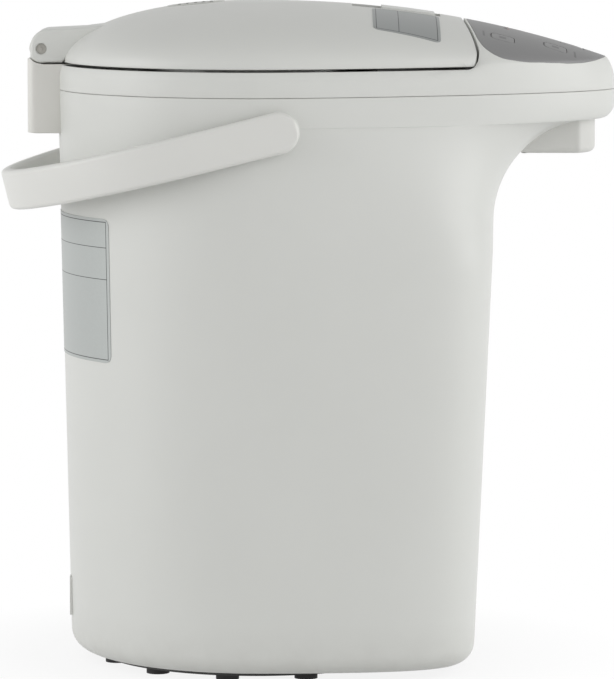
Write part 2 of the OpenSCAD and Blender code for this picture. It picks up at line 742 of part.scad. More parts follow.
module suction_elbow() {
    color("#bdbdb8")
    at_pump(chamber_z + chamber_h + 1.64) ring(4.5, 6, 0, pot_z - 3.05 - chamber_z - chamber_h - 1.64);
}

// ---- electrics ----
tray_z = base_z + base_t + 3;
module power_board() {
    color("#3f6b45")
    difference() {
        translate([-38, 22, tray_z]) cube([76, 40, 1.6]);
        for (p = [[-34, 26], [34, 26], [-34, 58], [34, 58]])
            translate([p.x, p.y, tray_z - 1]) cylinder(r = 1.6, h = 4);
    }
    color("#55534f")
    for (p = [[-34, 26], [34, 26], [-34, 58], [34, 58]])
        translate([p.x, p.y, base_z + base_t]) {
            cylinder(r = 3, h = 3);
            cylinder(r = 1.5, h = 6);
        }
}
module transformer() {
    color("#6a6f74") translate([-30, 30, tray_z + 1.65]) {
        cube([24, 20, 15]);
        translate([5, -2.5, 2]) cube([14, 25, 11]);
    }
}
module relay() {
    color("#30343a") translate([8, 40, tray_z + 1.65]) cube([16, 12, 15]);
}
board_half = [43, 22];          // half width at the back and in front
module control_board() {
    back = 67 - nose_reach;
    front = 15 - nose_reach;
    bend = 49 - nose_reach;
    color("#3f6b45")
    translate([0, 0, board_z])
        linear_extrude(board_t)
            polygon([[-board_half[0], back], [board_half[0], back], [board_half[0], bend],
                [board_half[1], front], [-board_half[1], front], [-board_half[0], bend]]);
}
module key_switches() {
    color("#2e2e30")
    intersection() {
        for (p = concat([main_at], key_places))
            on_beak(p) translate([0, 0, -stem_end - key_travel - 0.15 - 20]) cylinder(r = 2.6, h = 20);
        translate([-seam_r, -nose_reach, board_z + board_t]) cube([2 * seam_r, nose_reach - riser_y, 40]);
    }
}
module indicator_lamps() {
    color("#d05a3a")
    for (p = lamp_places)
        translate([p.x, p.y, board_z + board_t])
            cylinder(r = lamp_r, h = cover_dome(p) - board_z - board_t - 0.2);
}
socket_face = 88.4;
collar_t = 1.7;                 // wall of the collar round the recess
collar_back = 80;
module power_socket() {
    h = socket_h + 6;
    color("#3a3a3a")
    translate([0, 0, socket_z]) difference() {
        union() {
            translate([-socket_half - 4, 66, -h / 2]) cube([2 * socket_half + 8, socket_face - 66, h]);
            translate([-socket_half - collar_t, collar_back, -socket_h / 2 - collar_t])
                cube([2 * (socket_half + collar_t), foot_r + 0.4 - collar_back, socket_h + 2 * collar_t]);
        }
        translate([-socket_half, 76, -socket_h / 2]) cube([2 * socket_half, 30, socket_h]);
        for (s = [-1, 1]) translate([s * 7, 60, 0]) rotate([-90, 0, 0]) cylinder(r = 1.82, h = 20);
    }
}
module socket_pins() {
    color("#c9b26a")
    for (s = [-1, 1]) translate([s * 7, 62, socket_z]) rotate([-90, 0, 0]) {
        cylinder(r = 1.8, h = 20);
        translate([0, 0, 20]) sphere(r = 1.8);
    }
}
module wiring_harness() {
    color("#d8d8d8")
    rod_run([[40, -20, 13], [64, -78, 20], [64, -78, neck_z + 40], [30, -116, board_z - 6.4],
        [30, -116, board_z - 0.1]], 2, 0.3);
}

// ---- lid ----
lid_steps = [1, 0.985, 0.955, 0.9, 0.8, 0.65, 0.45, 0.25, 0.08];
lid_under = [0.962, 0.95, 0.9, 0.8, 0.6, 0.35, 0.1];
pocket = [34, 44];              // width and length of the lever's pocket
pocket_front = lid_front - 11;
lever_y = pocket_front - 5;     // pivot of the lid lever in front of the axis
lever_z = rim_z + 19.6;
lever_front = pocket_front - 2.6;
tray_wall = 1.4;
bolt_half = 12;
bolt_z = rim_z + 5.5;
bolt_h = 5;
bolt_reach = 4.2;               // how far the bolt stands out of the lid
module latch_slot() {
    translate([-bolt_half - 0.6, -lid_front - 9, bolt_z - 0.6])
        cube([2 * bolt_half + 1.2, 20, bolt_h + 1.2]);
}
ear_top = pin_z + 9.5;
ear_front = pin_y - 33.3;
// Extrudes a side view, x behind the axis and y up, along X
module along_x(from, length) {
    translate([from, 0, 0]) rotate([90, 0, 90]) linear_extrude(length) children();
}
module ear_profile() {
    // side view of the hinge cover, x is distance behind the axis and y is height
    back = pin_y + 5.5;
    r = 8.5;
    difference() {
        union() {
            polygon([[ear_front, rim_z + 7], [pin_y - 13.3, rim_z + 4.4], [lid_w - 0.3, lid_z],
                [pin_y, lid_z - 0.2], [pin_y, pin_z], [back, pin_z], [back, ear_top - r],
                [back - r, ear_top - r], [back - r, ear_top], [ear_front + 3, ear_top + 1.1],
                [ear_front, ear_top + 1.1]]);
            translate([back - r, ear_top - r]) circle(r = r);
            intersection() {
                translate([pin_y, pin_z]) circle(r = 7);
                translate([pin_y - 7, pin_z - 7]) square([12.5, 14]);
            }
        }
        translate([back, pin_z - 20]) square([20, 60]);
    }
}
module lid_shell() {
    under = [for (s = reversed(lid_under)) with_z(scaled(lid_outline, s), function(p) lid_dome(p) - wall)];
    top = [for (s = lid_steps) with_z(scaled(lid_outline, s), function(p) lid_dome(p))];
    ring_skin(concat(under, [at_z(scaled(lid_outline, 0.964), lid_z), at_z(lid_outline, lid_z)], top),
        closed = false);
}
module lid_outer() {
    color(shell_grey)
    difference() {
        union() {
            lid_shell();
            along_x(-hinge_half, 2 * hinge_half) ear_profile();
        }
        pin_line(pin_r + fit, hinge_half + 2);
        for (s = [-1, 1]) translate([s * (hinge_half - 0.4) - 1, pin_y, pin_z])
            rotate([0, 90, 0]) cylinder(r = pin_r + 0.6, h = 2);
        pin_line(knuckle_r + 0.7, knuckle_half + air);
        translate([-knuckle_half - air, pin_y - knuckle_r - 0.7, lid_z - 4])
            cube([2 * knuckle_half + 2 * air, 20, pin_z - lid_z + 4]);
        translate([0, vent_y, rim_z + 10]) cylinder(r = vent_r + 0.1, h = 40);
        translate([-pocket.x / 2, -pocket_front, rim_z + 12]) cube([pocket.x, pocket.y, 40]);
        latch_slot();
    }
}
module lid_inner_plate() {
    color("#c6c6c1")
    difference() {
        translate([0, 0, lid_z + 0.3]) linear_extrude(1.6) polygon(scaled(lid_outline, 0.945));
        translate([0, vent_y, lid_z - 1]) cylinder(r = 6, h = 5);
    }
}
plug_z = floor_z - 6;
module lid_plug() {
    color("#c2c4c6")
    difference() {
        translate([0, 0, plug_z]) cylinder(r = plug_r, h = lid_z + 0.28 - plug_z);
        translate([0, 0, plug_z + 1.2]) cylinder(r = plug_r - 1.5, h = 30);
        for (a = [0:60:300])
            translate([10 * cos(a), vent_y + 10 * sin(a), plug_z - 1]) cylinder(r = 1.5, h = 4);
    }
}
module lid_gasket() {
    color("#e6e6e2") ring(plug_r + 0.02, mouth_r - 1.5, plug_z + 1.2, plug_z + 4.2);
}
module steam_vent_cap() {
    top = crest(-vent_y) + 0.4;
    color("#c0c0bc")
    difference() {
        translate([0, vent_y, top - 8]) cylinder(r = vent_r, h = 8);
        translate([0, vent_y, top - 9]) cylinder(r = vent_r - 1.8, h = 6.5);
        for (k = [-2:2])
            translate([-9 + abs(k), vent_y + 4 * k - 0.9, top - 4]) cube([18 - 2 * abs(k), 1.8, 6]);
    }
}
plate_x = [-64, -21];
plate_f = [57, 90];
module lid_plate() {
    n = 8;
    function spot(a, b, up) =
        let (p = [mix(plate_x[0], plate_x[1], a / n), -mix(plate_f[0], plate_f[1], b / n)])
        [p.x, p.y, lid_dome(p) + up];
    rows = [for (b = [0:n]) concat([for (a = [0:n]) spot(a, b, 0.03)],
        reversed([for (a = [0:n]) spot(a, b, plate_t)]))];
    color("#a9acab") ring_skin(rows, closed = false);
}
module lever_tray() {
    top = lid_z + 18.6;
    foot = lid_z + 12.4;
    color("#c6c6c1")
    difference() {
        translate([-pocket.x / 2 - tray_wall, -pocket_front - tray_wall, foot])
            cube([pocket.x + 2 * tray_wall, pocket.y + 2 * tray_wall, top - foot]);
        translate([-pocket.x / 2, -pocket_front, foot + tray_wall]) cube([pocket.x, pocket.y, 20]);
        translate([-pocket.x, -lever_y, lever_z]) rotate([0, 90, 0])
            cylinder(r = 1.6 + fit, h = 2 * pocket.x);
        translate([-4.6, -pocket_front + 0.2, foot - 1]) cube([9.2, 12, 5]);
    }
}
// Side view of the lever: its top follows the crest line
function lever_top(f) = crest(f) + 0.3;
module lid_lever() {
    grip = lever_y - 24;
    middle = lever_y - 10;
    color("#c8c8c3")
    union() {
        difference() {
            along_x(-pocket.x / 2 + air, pocket.x - 2 * air)
                polygon([[-grip, lever_top(grip) - 3], [-grip, lever_top(grip)], [-middle, lever_top(middle)],
                    [-lever_front, lever_top(lever_front)], [-lever_front, lever_z - 2.6],
                    [2 - lever_y, lever_z - 2.6], [6 - lever_y, lever_top(lever_y - 6) - 3]]);
            for (s = [-1, 1]) translate([s * 10.5 - 3, -lever_y - 8, lever_z - 4]) cube([6, 13.5, 7.2]);
        }
        translate([-pocket.x / 2 - tray_wall + 0.1, -lever_y, lever_z]) rotate([0, 90, 0])
            cylinder(r = 1.6, h = pocket.x + 2 * tray_wall - 0.2);
        along_x(-4, 8) polygon([[-lever_y - 2, lever_z], [-lever_y + 2, lever_z],
            [-lever_y + 1.4, bolt_z + 1], [-lever_y - 1.4, bolt_z + 1]]);
    }
}
module lever_spring() {
    color("silver")
    for (s = [-1, 1]) translate([s * 10.5 - 2.5, -lever_y, lever_z]) rotate([0, 90, 0])
        difference() {
            cylinder(r = 3, h = 5);
            translate([0, 0, -1]) cylinder(r = 2.05, h = 7);
        }
}
module latch_bolt() {
    color("#b8b8b2")
    difference() {
        translate([-bolt_half, -lid_front - bolt_reach, bolt_z])
            cube([2 * bolt_half, lid_front + bolt_reach - lever_y + 10, bolt_h]);
        translate([-4.8, -lever_y - 2.7, bolt_z - 1]) cube([9.6, 9.3, bolt_h + 2]);
    }
}

// ---- handle ----
module handle() {
    mid = handle_half - band_t / 2;
    bore_end = handle_half - 1.2;
    color("#d6d6d1")
    translate([0, -pivot_y, pivot_z]) rotate([-handle_drop, 0, 0])
        difference() {
            union() {
                translate([0, 0, -band_w / 2]) linear_extrude(band_w) {
                    difference() {
                        translate([0, handle_run]) circle(r = handle_half, $fn = 128);
                        translate([0, handle_run]) circle(r = handle_inner, $fn = 128);
                        translate([-200, handle_run - 400]) square([400, 400]);
                    }
                    for (s = [-1, 1])
                        translate([s * mid - band_t / 2, 0]) square([band_t, handle_run + 0.01]);
                }
                for (s = [-1, 1]) translate([s * handle_inner, 0, 0]) rotate([0, s * 90, 0])
                    cylinder(r = boss_r, h = band_t);
            }
            for (s = [-1, 1]) translate([s * (handle_inner - 1), 0, 0]) rotate([0, s * 90, 0])
                cylinder(r = stud_r + fit, h = bore_end - handle_inner + 1);
        }
}

// ---- swivel base ----
hub_top = base_z + base_t + 0.4;
pad_circle = swivel_r - pad_r - 0.2;
pad_turn = 18.9;
module swivel_base() {
    color("#3c3c3c") {
        translate([0, 0, pad_h]) cylinder(r = swivel_r, h = swivel_t, $fn = 128);
        translate([0, 0, pad_h]) cylinder(r = hub_r, h = hub_top - pad_h);
    }
}
module swivel_pads() {
    color("#1c1c1c")
    for (k = [0:pad_count - 1]) rotate([0, 0, pad_turn + 360 * k / pad_count])
        translate([pad_circle, 0, 0]) cylinder(r = pad_r, h = pad_h);
}
module swivel_retainer() {
    color("silver") translate([0, 0, hub_top]) cylinder(r = hub_r + 4, h = 1.5);
}

// ---- buttons ----
module dispense_button() { color("#9b9b99") button(main_at, main_key); }
module lock_button() { color("#9b9b99") button(lock_at, key); }
module timer_button() { color("#9b9b99") button(timer_at, key); }
module reboil_button() { color("#9b9b99") button(reboil_at, key); }
module warmth_button() { color("#9b9b99") button(warmth_at, key); }

outer_case();
base_cover();
base_screws();
top_cover();
control_panel();
hinge_bracket();
hinge_pin();
handle_studs();
level_window();
nozzle_cover();
spout_pipe();
riser_pipe();
rear_plate();
inner_pot();
mouth_gasket();
insulation_jacket();
heater_band();
heater_plate();
thermostat();
thermal_fuse();
pot_stand();
pump_housing();
pump_cover();
pump_motor();
drive_magnet();
impeller();
suction_elbow();
tip_valve_ball();
power_board();
transformer();
relay();
control_board();
key_switches();
indicator_lamps();
power_socket();
socket_pins();
wiring_harness();
lid_outer();
lid_inner_plate();
lid_plug();
lid_gasket();
steam_vent_cap();
lid_plate();
lever_tray();
lid_lever();
lever_spring();
latch_bolt();
handle();
swivel_base();
swivel_pads();
swivel_retainer();
dispense_button();
lock_button();
timer_button();
reboil_button();
warmth_button();
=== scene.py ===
# %% [markdown]
# # An electric thermo pot, dressed for a studio picture
# The solids of the pot come ready made from the construction model, which also says how each of them moves.
# This lesson gives them the surfaces of the real thing: thin parting lines, soft edges, satin plastic,
# brushed steel. Each piece is made where its solid is, and rides on the same body.

import math

import bmesh
import bpy
import numpy as np
from mathutils import Matrix, Vector


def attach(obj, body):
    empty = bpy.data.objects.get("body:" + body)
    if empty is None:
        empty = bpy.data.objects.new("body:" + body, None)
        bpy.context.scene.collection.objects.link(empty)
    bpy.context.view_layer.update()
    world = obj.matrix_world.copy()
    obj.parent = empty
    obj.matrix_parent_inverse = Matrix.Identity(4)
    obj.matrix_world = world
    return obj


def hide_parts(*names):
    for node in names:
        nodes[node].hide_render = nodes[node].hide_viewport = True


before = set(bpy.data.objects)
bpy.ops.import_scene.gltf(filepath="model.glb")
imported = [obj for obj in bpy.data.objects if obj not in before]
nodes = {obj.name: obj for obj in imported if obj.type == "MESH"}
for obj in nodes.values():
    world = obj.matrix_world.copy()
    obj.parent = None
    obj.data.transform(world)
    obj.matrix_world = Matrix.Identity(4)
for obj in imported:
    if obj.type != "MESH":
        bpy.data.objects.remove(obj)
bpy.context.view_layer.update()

# %% [markdown]
# ## The sizes that every piece shares
# A thermo pot is drawn from few numbers: the round back, the beak's reach, the height of each parting
# line and the places of the pivots. They are written once, in millimetres, so that the shell, the lid
# and the small parts on them stay in register. Meshes are made in millimetres and scaled to metres once.

# %% Shared sizes
MM = 0.001
foot_r, seam_r = 94.2, 99.9                  # radius of the round back, at the foot and at the seam
case_z, seam_z = 4.5, 286.6                  # lower edge and seam of the case
edge_r, wall = 10.0, 2.4                     # rounding of the foot, thickness of a shell
foot_front, neck_front, neck_z = 107.6, 117.0, 222.0
nose_reach, arch_run, arch_rise, nose_round = 179.0, 55.0, 50.0, 9.0
rim_z, rim_lean, crown_z = 299.0, 2.6, 330.5
round_z = 289.5                              # where the cover's edge begins to round
lid_gap, lid_front, lid_hollow = 1.2, 102.0, 5.6
lid_w, lid_reach, lid_z = seam_r - rim_lean, nose_reach - 9, rim_z + lid_gap
corner_r = 6.5
corner_y = lid_front + lid_hollow - corner_r
flank_end, corner_end = 125, 140             # degrees from the back to the ends of the lid's side and corner
mouth_r, floor_z, pot_top = 66.0, rim_z - 7, 277.0
round_a, round_b, square_a, square_b = 1.48, 1.11, 0.833, 0.25
beak_blend, beak_lead = 14.0, 0.5
crest_reach, nose_fall, drop_power, back_power = nose_reach - 3, 28.5, 2.15, 2.2
pin_y, pin_z, pin_r, hinge_half, knuckle_half, knuckle_r = 107.3, 307.0, 2.3, 19.0, 9.0, 6.4
block_back, block_z = 114.4, 265.0
pivot_y, pivot_z, handle_half, band_t, band_w = 10.8, 270.3, 107.0, 6.0, 20.0
handle_run, handle_drop = 34.5, 14.0
spout_y, nozzle_z, nozzle_half, nozzle_length, spout_hole_r = 149.5, 255.0, 19.0, 39.0, 7.5
around = 288                                 # points round each level of the shells
print("the pot is", round(crown_z), "mm high and reaches", nose_reach, "mm forward")

# %% [markdown]
# ## One outline for case, beak and lid
# Seen from above the pot is round at the back and drawn out to a blunt beak in front. A curve of the
# kind x = sin^b, y = cos^a gives both the squarish body and the pointed beak by its two exponents, so a
# level of the shell is only a height, a reach, a half width and a share of beak between the two.

# %% Outline curves
def mix(a, b, t):
    return a + (b - a) * t


def ease(z, low, high):
    t = np.clip((z - low) / (high - low), 0, 1)
    return t * t * (3 - 2 * t)


def side(z):
    return mix(foot_r, seam_r, (z - case_z) / (seam_z - case_z))


def front(z):
    return mix(foot_front, neck_front, (z - case_z) / (neck_z - case_z))


turn = np.linspace(0, 2 * math.pi, around, endpoint=False)


def plan(half, reach, beak):
    """Points of one level, as x and y, from the back round to the right."""
    a, b = mix(square_a, round_a, beak), mix(square_b, round_b, beak)
    s, c = np.sin(turn), np.cos(turn)
    x_front = half * np.sign(s) * np.abs(s) ** b
    y_front = -reach * np.abs(c) ** a
    return np.stack([np.where(c >= 0, half * s, x_front), np.where(c >= 0, half * c, y_front)], 1)


def beakness(z, reach):
    """How far the plan at a height and reach has changed from the body's curve to the beak's."""
    low = neck_z - beak_blend
    t = min(max((z - low) / (seam_z - low), 0.0), 1.0)
    out = min(max((reach - neck_front) / (nose_reach - neck_front), 0.0), 1.0)
    return out + (1 - out) * beak_lead * t


def crest(f):
    """Height of the crest at a distance f in front of the axis."""
    f = np.asarray(f, float)
    back = rim_z + (crown_z - rim_z) * np.sqrt(np.clip(1 - np.clip(-f / lid_w, 0, 1) ** back_power, 0, 1))
    fore = crown_z - nose_fall * (np.clip(f, 0, None) / crest_reach) ** drop_power
    return np.where(f < 0, back, fore)


def half_at(f, half, reach):
    f = np.asarray(f, float)
    back = np.sqrt(np.clip(half * half - f * f, 0, None))
    fore = half * np.clip(1 - np.clip(f / reach, 0, 1) ** (2 / round_a), 0, 1) ** (round_b / 2)
    return np.where(f < 0, back, fore)


def dome(p, half, reach, edge_z):
    w = half_at(-p[..., 1], half, reach)
    s = np.where(w < 0.5, 1, np.clip(np.abs(p[..., 0]) / np.maximum(w, 0.5), 0, 1))
    return edge_z + (np.maximum(crest(-p[..., 1]), edge_z) - edge_z) * np.sqrt(1 - s * s)


def cover_dome(p):
    return dome(np.asarray(p, float), seam_r, nose_reach, rim_z)


def lid_dome(p):
    return dome(np.asarray(p, float), lid_w, lid_reach, lid_z + 1)


print("crest above the axis:", float(crest(0)), "at the nose:", float(crest(crest_reach)))

# %% [markdown]
# ## The lid's outline
# The lid is round at the back, follows the beak's sides, turns a small corner and has a slightly hollow
# front edge. It is drawn by angle, like the levels, so that lid and rim can be joined point by point.

# %% Lid outline
corner_x = float(half_at(corner_y, lid_w, lid_reach))


def lid_outline_points():
    points = []
    corner_turn = 90 / (corner_end - flank_end)
    for phi in np.degrees(turn):
        mirror = phi > 180
        a = 360 - phi if mirror else phi
        if a <= 90:
            p = (lid_w * math.sin(math.radians(a)), lid_w * math.cos(math.radians(a)))
        elif a <= flank_end:
            f = corner_y * (a - 90) / (flank_end - 90)
            p = (float(half_at(f, lid_w, lid_reach)), -f)
        elif a <= corner_end:
            t = math.radians((a - flank_end) * corner_turn)
            p = (corner_x - corner_r * (1 - math.cos(t)), -corner_y - corner_r * math.sin(t))
        else:
            x = (corner_x - corner_r) * (180 - a) / (180 - corner_end)
            p = (x, -(lid_front + lid_hollow * (x / (corner_x - corner_r)) ** 2))
        points.append((-p[0] if mirror else p[0], p[1]))
    return np.array(points)


def toward(points, target, d, most=0.42):
    """Moves each point a distance d towards its partner on another outline."""
    v = target - points
    n = np.linalg.norm(v, axis=1, keepdims=True)
    return points + v * np.minimum(d / n, most)


lid_line = lid_outline_points()
cover_line = plan(seam_r, nose_reach, 1)
rim_line = toward(cover_line, lid_line, rim_lean * 0.6)
ledge_line = toward(lid_line, rim_line, lid_gap, 0.4)
degrees = np.degrees(turn)
print("lid corner at", round(corner_x, 1), "mm to the side")

# %% [markdown]
# ## Turning rings into a mesh
# A shell is a stack of rings with as many points each. Joining ring to ring gives clean quads that
# shade smoothly, which no cut block would. Where a real part has a sharp edge, two rings lie close.

# %% Mesh helpers
def at_z(points, z):
    return np.column_stack([points, np.broadcast_to(z, len(points))])


def new_piece(name, verts, faces):
    mesh = bpy.data.meshes.new(name)
    mesh.from_pydata((np.asarray(verts, float) * MM).tolist(), [], [list(map(int, f)) for f in faces])
    mesh.validate()
    piece = bpy.data.objects.new(name, mesh)
    bpy.context.scene.collection.objects.link(piece)
    return piece


def ring_faces(rows, points, closed):
    faces = []
    for j in range(rows if closed else rows - 1):
        k = (j + 1) % rows
        for i in range(points):
            n = (i + 1) % points
            faces.append((j * points + i, j * points + n, k * points + n, k * points + i))
    return faces


def loft(name, rings, closed=False, caps=False):
    """Skin over rings of equal length; caps closes the first and last ring with a fan."""
    rings = np.array(rings, float)
    rows, points = rings.shape[:2]
    verts = rings.reshape(-1, 3)
    faces = ring_faces(rows, points, closed)
    if caps:
        ends = np.array([rings[0].mean(0), rings[-1].mean(0)])
        verts = np.vstack([verts, ends])
        a, b, last = rows * points, rows * points + 1, (rows - 1) * points
        for i in range(points):
            n = (i + 1) % points
            faces.append((a, n, i))
            faces.append((b, last + i, last + n))
    piece = new_piece(name, verts, faces)
    outward(piece)
    return piece


def outward(piece):
    """Makes all faces look outwards."""
    bm = bmesh.new()
    bm.from_mesh(piece.data)
    bmesh.ops.remove_doubles(bm, verts=bm.verts, dist=1e-6)
    bmesh.ops.recalc_face_normals(bm, faces=bm.faces)
    bm.to_mesh(piece.data)
    bm.free()


def smooth(piece, angle):
    """Smooth shading, apart from edges that turn by more than an angle in degrees."""
    piece.data.shade_smooth()
    piece.data.set_sharp_from_angle(angle=math.radians(angle))


def settle(piece):
    """Turns what the modifiers make into the piece's own mesh."""
    bpy.context.view_layer.update()
    graph = bpy.context.evaluated_depsgraph_get()
    mesh = bpy.data.meshes.new_from_object(piece.evaluated_get(graph))
    piece.modifiers.clear()
    old, name = piece.data, piece.data.name
    piece.data = mesh
    bpy.data.meshes.remove(old)
    mesh.name = name
    return piece


def cut(piece, cutters, how="DIFFERENCE"):
    """Cuts other pieces out of this one and removes them."""
    for tool in cutters:
        step = piece.modifiers.new("cut", "BOOLEAN")
        step.operation, step.solver, step.object = how, "EXACT", tool
    settle(piece)
    for tool in cutters:
        mesh = tool.data
        bpy.data.objects.remove(tool)
        bpy.data.meshes.remove(mesh)


def soften(piece, width, angle=40):
    """Rounds the edges by a width in millimetres, as a modifier that leaves the mesh alone."""
    step = piece.modifiers.new("soft edges", "BEVEL")
    step.width, step.segments, step.limit_method = width * MM, 2, "ANGLE"
    step.angle_limit = math.radians(angle)
    return piece


print("helpers ready,", around, "points to a ring")

# %% [markdown]
# ## Basic solids in mesh code
# Cutters and small parts start as a block with rounded corners, a turned profile or a side view drawn
# out to a width. These three are enough for every small part on the pot.

# %% Block, turned part and drawn profile
def rounded_outline(w, d, r, steps=6):
    """A rectangle with rounded corners, as x and y."""
    points = []
    for k, (sx, sy) in enumerate([(1, 1), (-1, 1), (-1, -1), (1, -1)]):
        for t in np.linspace(0, 90, steps + 1):
            a = math.radians(90 * k + t)
            points.append((sx * (w / 2 - r) + r * math.cos(a), sy * (d / 2 - r) + r * math.sin(a)))
    return np.array(points)


def block(name, outline, z_low, z_high, edge=0.0, steps=3, top_edge=None):
    """An upright block over an outline, with its top and bottom edges rounded."""
    upper = edge if top_edge is None else top_edge
    outline = np.asarray(outline, float)
    inward = offset_inward(outline)
    rings = []
    for t in np.linspace(0, 90, steps + 1) if edge else [90]:
        a = math.radians(t)
        rings.append(at_z(outline + inward * edge * (1 - math.sin(a)), z_low + edge * (1 - math.cos(a))))
    for t in np.linspace(90, 0, steps + 1) if upper else [90]:
        a = math.radians(t)
        rings.append(at_z(outline + inward * upper * (1 - math.sin(a)), z_high - upper * (1 - math.cos(a))))
    return loft(name, rings, caps=True)


def offset_inward(outline):
    """Unit vectors pointing inwards along a closed outline."""
    d = np.roll(outline, -1, 0) - np.roll(outline, 1, 0)
    d /= np.maximum(np.linalg.norm(d, axis=1, keepdims=True), 1e-9)
    n = np.stack([-d[:, 1], d[:, 0]], 1)
    area = np.sum(outline[:, 0] * np.roll(outline[:, 1], -1) - np.roll(outline[:, 0], -1) * outline[:, 1])
    return n if area > 0 else -n


def turned(name, profile, segments=64):
    """A profile of radius and height turned round the upright axis."""
    profile = np.asarray(profile, float)
    a = np.linspace(0, 2 * math.pi, segments, endpoint=False)
    rings = [np.column_stack([r * np.cos(a), r * np.sin(a), np.full(segments, z)]) for r, z in profile]
    return loft(name, rings)


def rod(name, r, z_low, z_high, segments=64):
    """A plain upright rod; as a cutter it drills a round hole."""
    return turned(name, [(0.001, z_low), (r, z_low), (r, z_high), (0.001, z_high)], segments)


def place(piece, matrix):
    """Moves the mesh itself, so that the object stays at the origin."""
    piece.data.transform(matrix)
    piece.data.update()
    return piece


def shift(piece, y=0, z=0):
    return place(piece, Matrix.Translation(Vector((0, y, z)) * MM))


def along_x(name, side_view, x_from, x_to, edge=0.0, steps=3):
    """A side view of y and z drawn out from one x to another, with rounded edges."""
    piece = block(name, np.asarray(side_view, float), x_from, x_to, edge, steps)
    return place(piece, Matrix(((0, 0, 1, 0), (1, 0, 0, 0), (0, 1, 0, 0), (0, 0, 0, 1))))


print("solids ready")

# %% [markdown]
# ## Arithmetic with shader nodes
# A pattern is a formula: a line where the height is near a number, a speck where noise passes a limit.
# Wiring one node for each plus and times hides the formula, so this small class writes the nodes while
# the formula is typed as one. Its last method reaches every other kind of node.

# %% Shader values
def by_node(kind, swap=False):
    """An operator of the class below: it feeds the value, and another, to a node of this kind."""
    return lambda value, other=0.0: value.worked(kind, other, swap)


class Shade:
    """A value on its way through a material's nodes."""

    def __init__(self, tree, socket):
        self.tree, self.socket = tree, socket

    def worked(self, kind, other, swap):
        made = self.tree.nodes.new("ShaderNodeMath")
        made.operation = kind
        for socket, value in zip(made.inputs, (other, self) if swap else (self, other)):
            if isinstance(value, Shade):
                self.tree.links.new(value.socket, socket)
            else:
                socket.default_value = value
        return Shade(self.tree, made.outputs[0])

    __add__, __radd__ = by_node("ADD"), by_node("ADD", True)
    __sub__, __rsub__ = by_node("SUBTRACT"), by_node("SUBTRACT", True)
    __mul__, __rmul__ = by_node("MULTIPLY"), by_node("MULTIPLY", True)
    __truediv__, __abs__ = by_node("DIVIDE"), by_node("ABSOLUTE")
    __lt__, __gt__ = by_node("LESS_THAN"), by_node("GREATER_THAN")
    at_most, at_least = by_node("MINIMUM"), by_node("MAXIMUM")

    def node(self, kind, into=0, out=0, **values):
        """Feeds this value to a new node and returns one of its outputs."""
        made = self.tree.nodes.new(kind)
        for key, value in values.items():
            if key in made.inputs:
                made.inputs[key].default_value = value
            else:
                setattr(made, key, value)
        self.tree.links.new(self.socket, made.inputs[into])
        return Shade(self.tree, made.outputs[out])


print("shader arithmetic ready")

# %% [markdown]
# ## Moulded plastic and the other finishes
# A moulded shell is never one flat colour: the melt leaves faint clouds, the tool's fine erosion gives a
# grain that breaks up the gloss, and years of wiping polish it unevenly. Noise in object coordinates,
# at the scale of centimetres for clouds and tenths of a millimetre for grain, gives just that.

# %% Finish maker
def srgb(r, g, b):
    """A colour as a picture editor names it, 0 to 255, for the shader."""
    def one(v):
        v /= 255
        return v / 12.92 if v <= 0.04045 else ((v + 0.055) / 1.055) ** 2.4
    return (one(r), one(g), one(b), 1.0)


def start(name):
    """A new material, its shader and the object coordinates in metres."""
    made = bpy.data.materials.new(name)
    made.use_nodes = True
    nodes_here = made.node_tree.nodes
    coordinates = nodes_here.new("ShaderNodeTexCoord")
    return made, nodes_here["Principled BSDF"], Shade(made.node_tree, coordinates.outputs["Object"])


def noise(place, scale, detail=2.0, roughness=0.5):
    return place.node("ShaderNodeTexNoise", Scale=scale, Detail=detail, Roughness=roughness)


def blend_colours(amount, low, high):
    """A colour between two, by an amount from 0 to 1."""
    mixed = amount.tree.nodes.new("ShaderNodeMix")
    mixed.data_type = "RGBA"
    amount.tree.links.new(amount.socket, mixed.inputs[0])
    for socket, value in ((mixed.inputs[6], low), (mixed.inputs[7], high)):
        if isinstance(value, Shade):
            amount.tree.links.new(value.socket, socket)
        else:
            socket.default_value = value
    return Shade(amount.tree, mixed.outputs[2])


def shaded(colour, k):
    return (colour[0] * k, colour[1] * k, colour[2] * k, 1.0)


def coat(shader, tone, rough, place, scale, height):
    """Joins a colour, a roughness and a fine relief, its height in millimetres, to a shader."""
    bump = noise(place, scale).node("ShaderNodeBump", into="Height", Strength=1.0, Distance=height * MM)
    for value, label in ((tone, "Base Color"), (rough, "Roughness"), (bump, "Normal")):
        place.tree.links.new(value.socket, shader.inputs[label])


def finish(name, colour, rough=0.4, clouds=0.03, grain=(1500, 0.01), metal=0.0, wear=0.06):
    """Plastic, rubber or metal: clouded colour, uneven gloss and a fine grain."""
    made, shader, place = start(name)
    cloud = noise(place, 22.0, 3.0)
    speck = noise(place, 260.0, 2.0)
    amount = cloud * 0.75 + speck * 0.25
    tone = blend_colours(amount, shaded(colour, 1 - 2 * clouds), shaded(colour, 1 + 2 * clouds))
    shader.inputs["Metallic"].default_value = metal
    coat(shader, tone, rough - wear + cloud * wear * 2, place, *grain)
    return made


shell_colour = srgb(214, 215, 211)
print("finishes start from", [round(c, 3) for c in shell_colour[:3]])

# %% [markdown]
# ## The shell's plastic
# The big pale shell gets its own recipe. It carries painted shade: the formula darkens a hair's breadth at
# the seam, where shade falls in the parting line, and the last centimetres above the table, broken up by
# noise, and leaves the open surfaces as they are. The small parts beside it get plainer plastics.

# %% Shell plastic
def split(place):
    axes = place.tree.nodes.new("ShaderNodeSeparateXYZ")
    place.tree.links.new(place.socket, axes.inputs[0])
    return [Shade(place.tree, out) for out in axes.outputs]


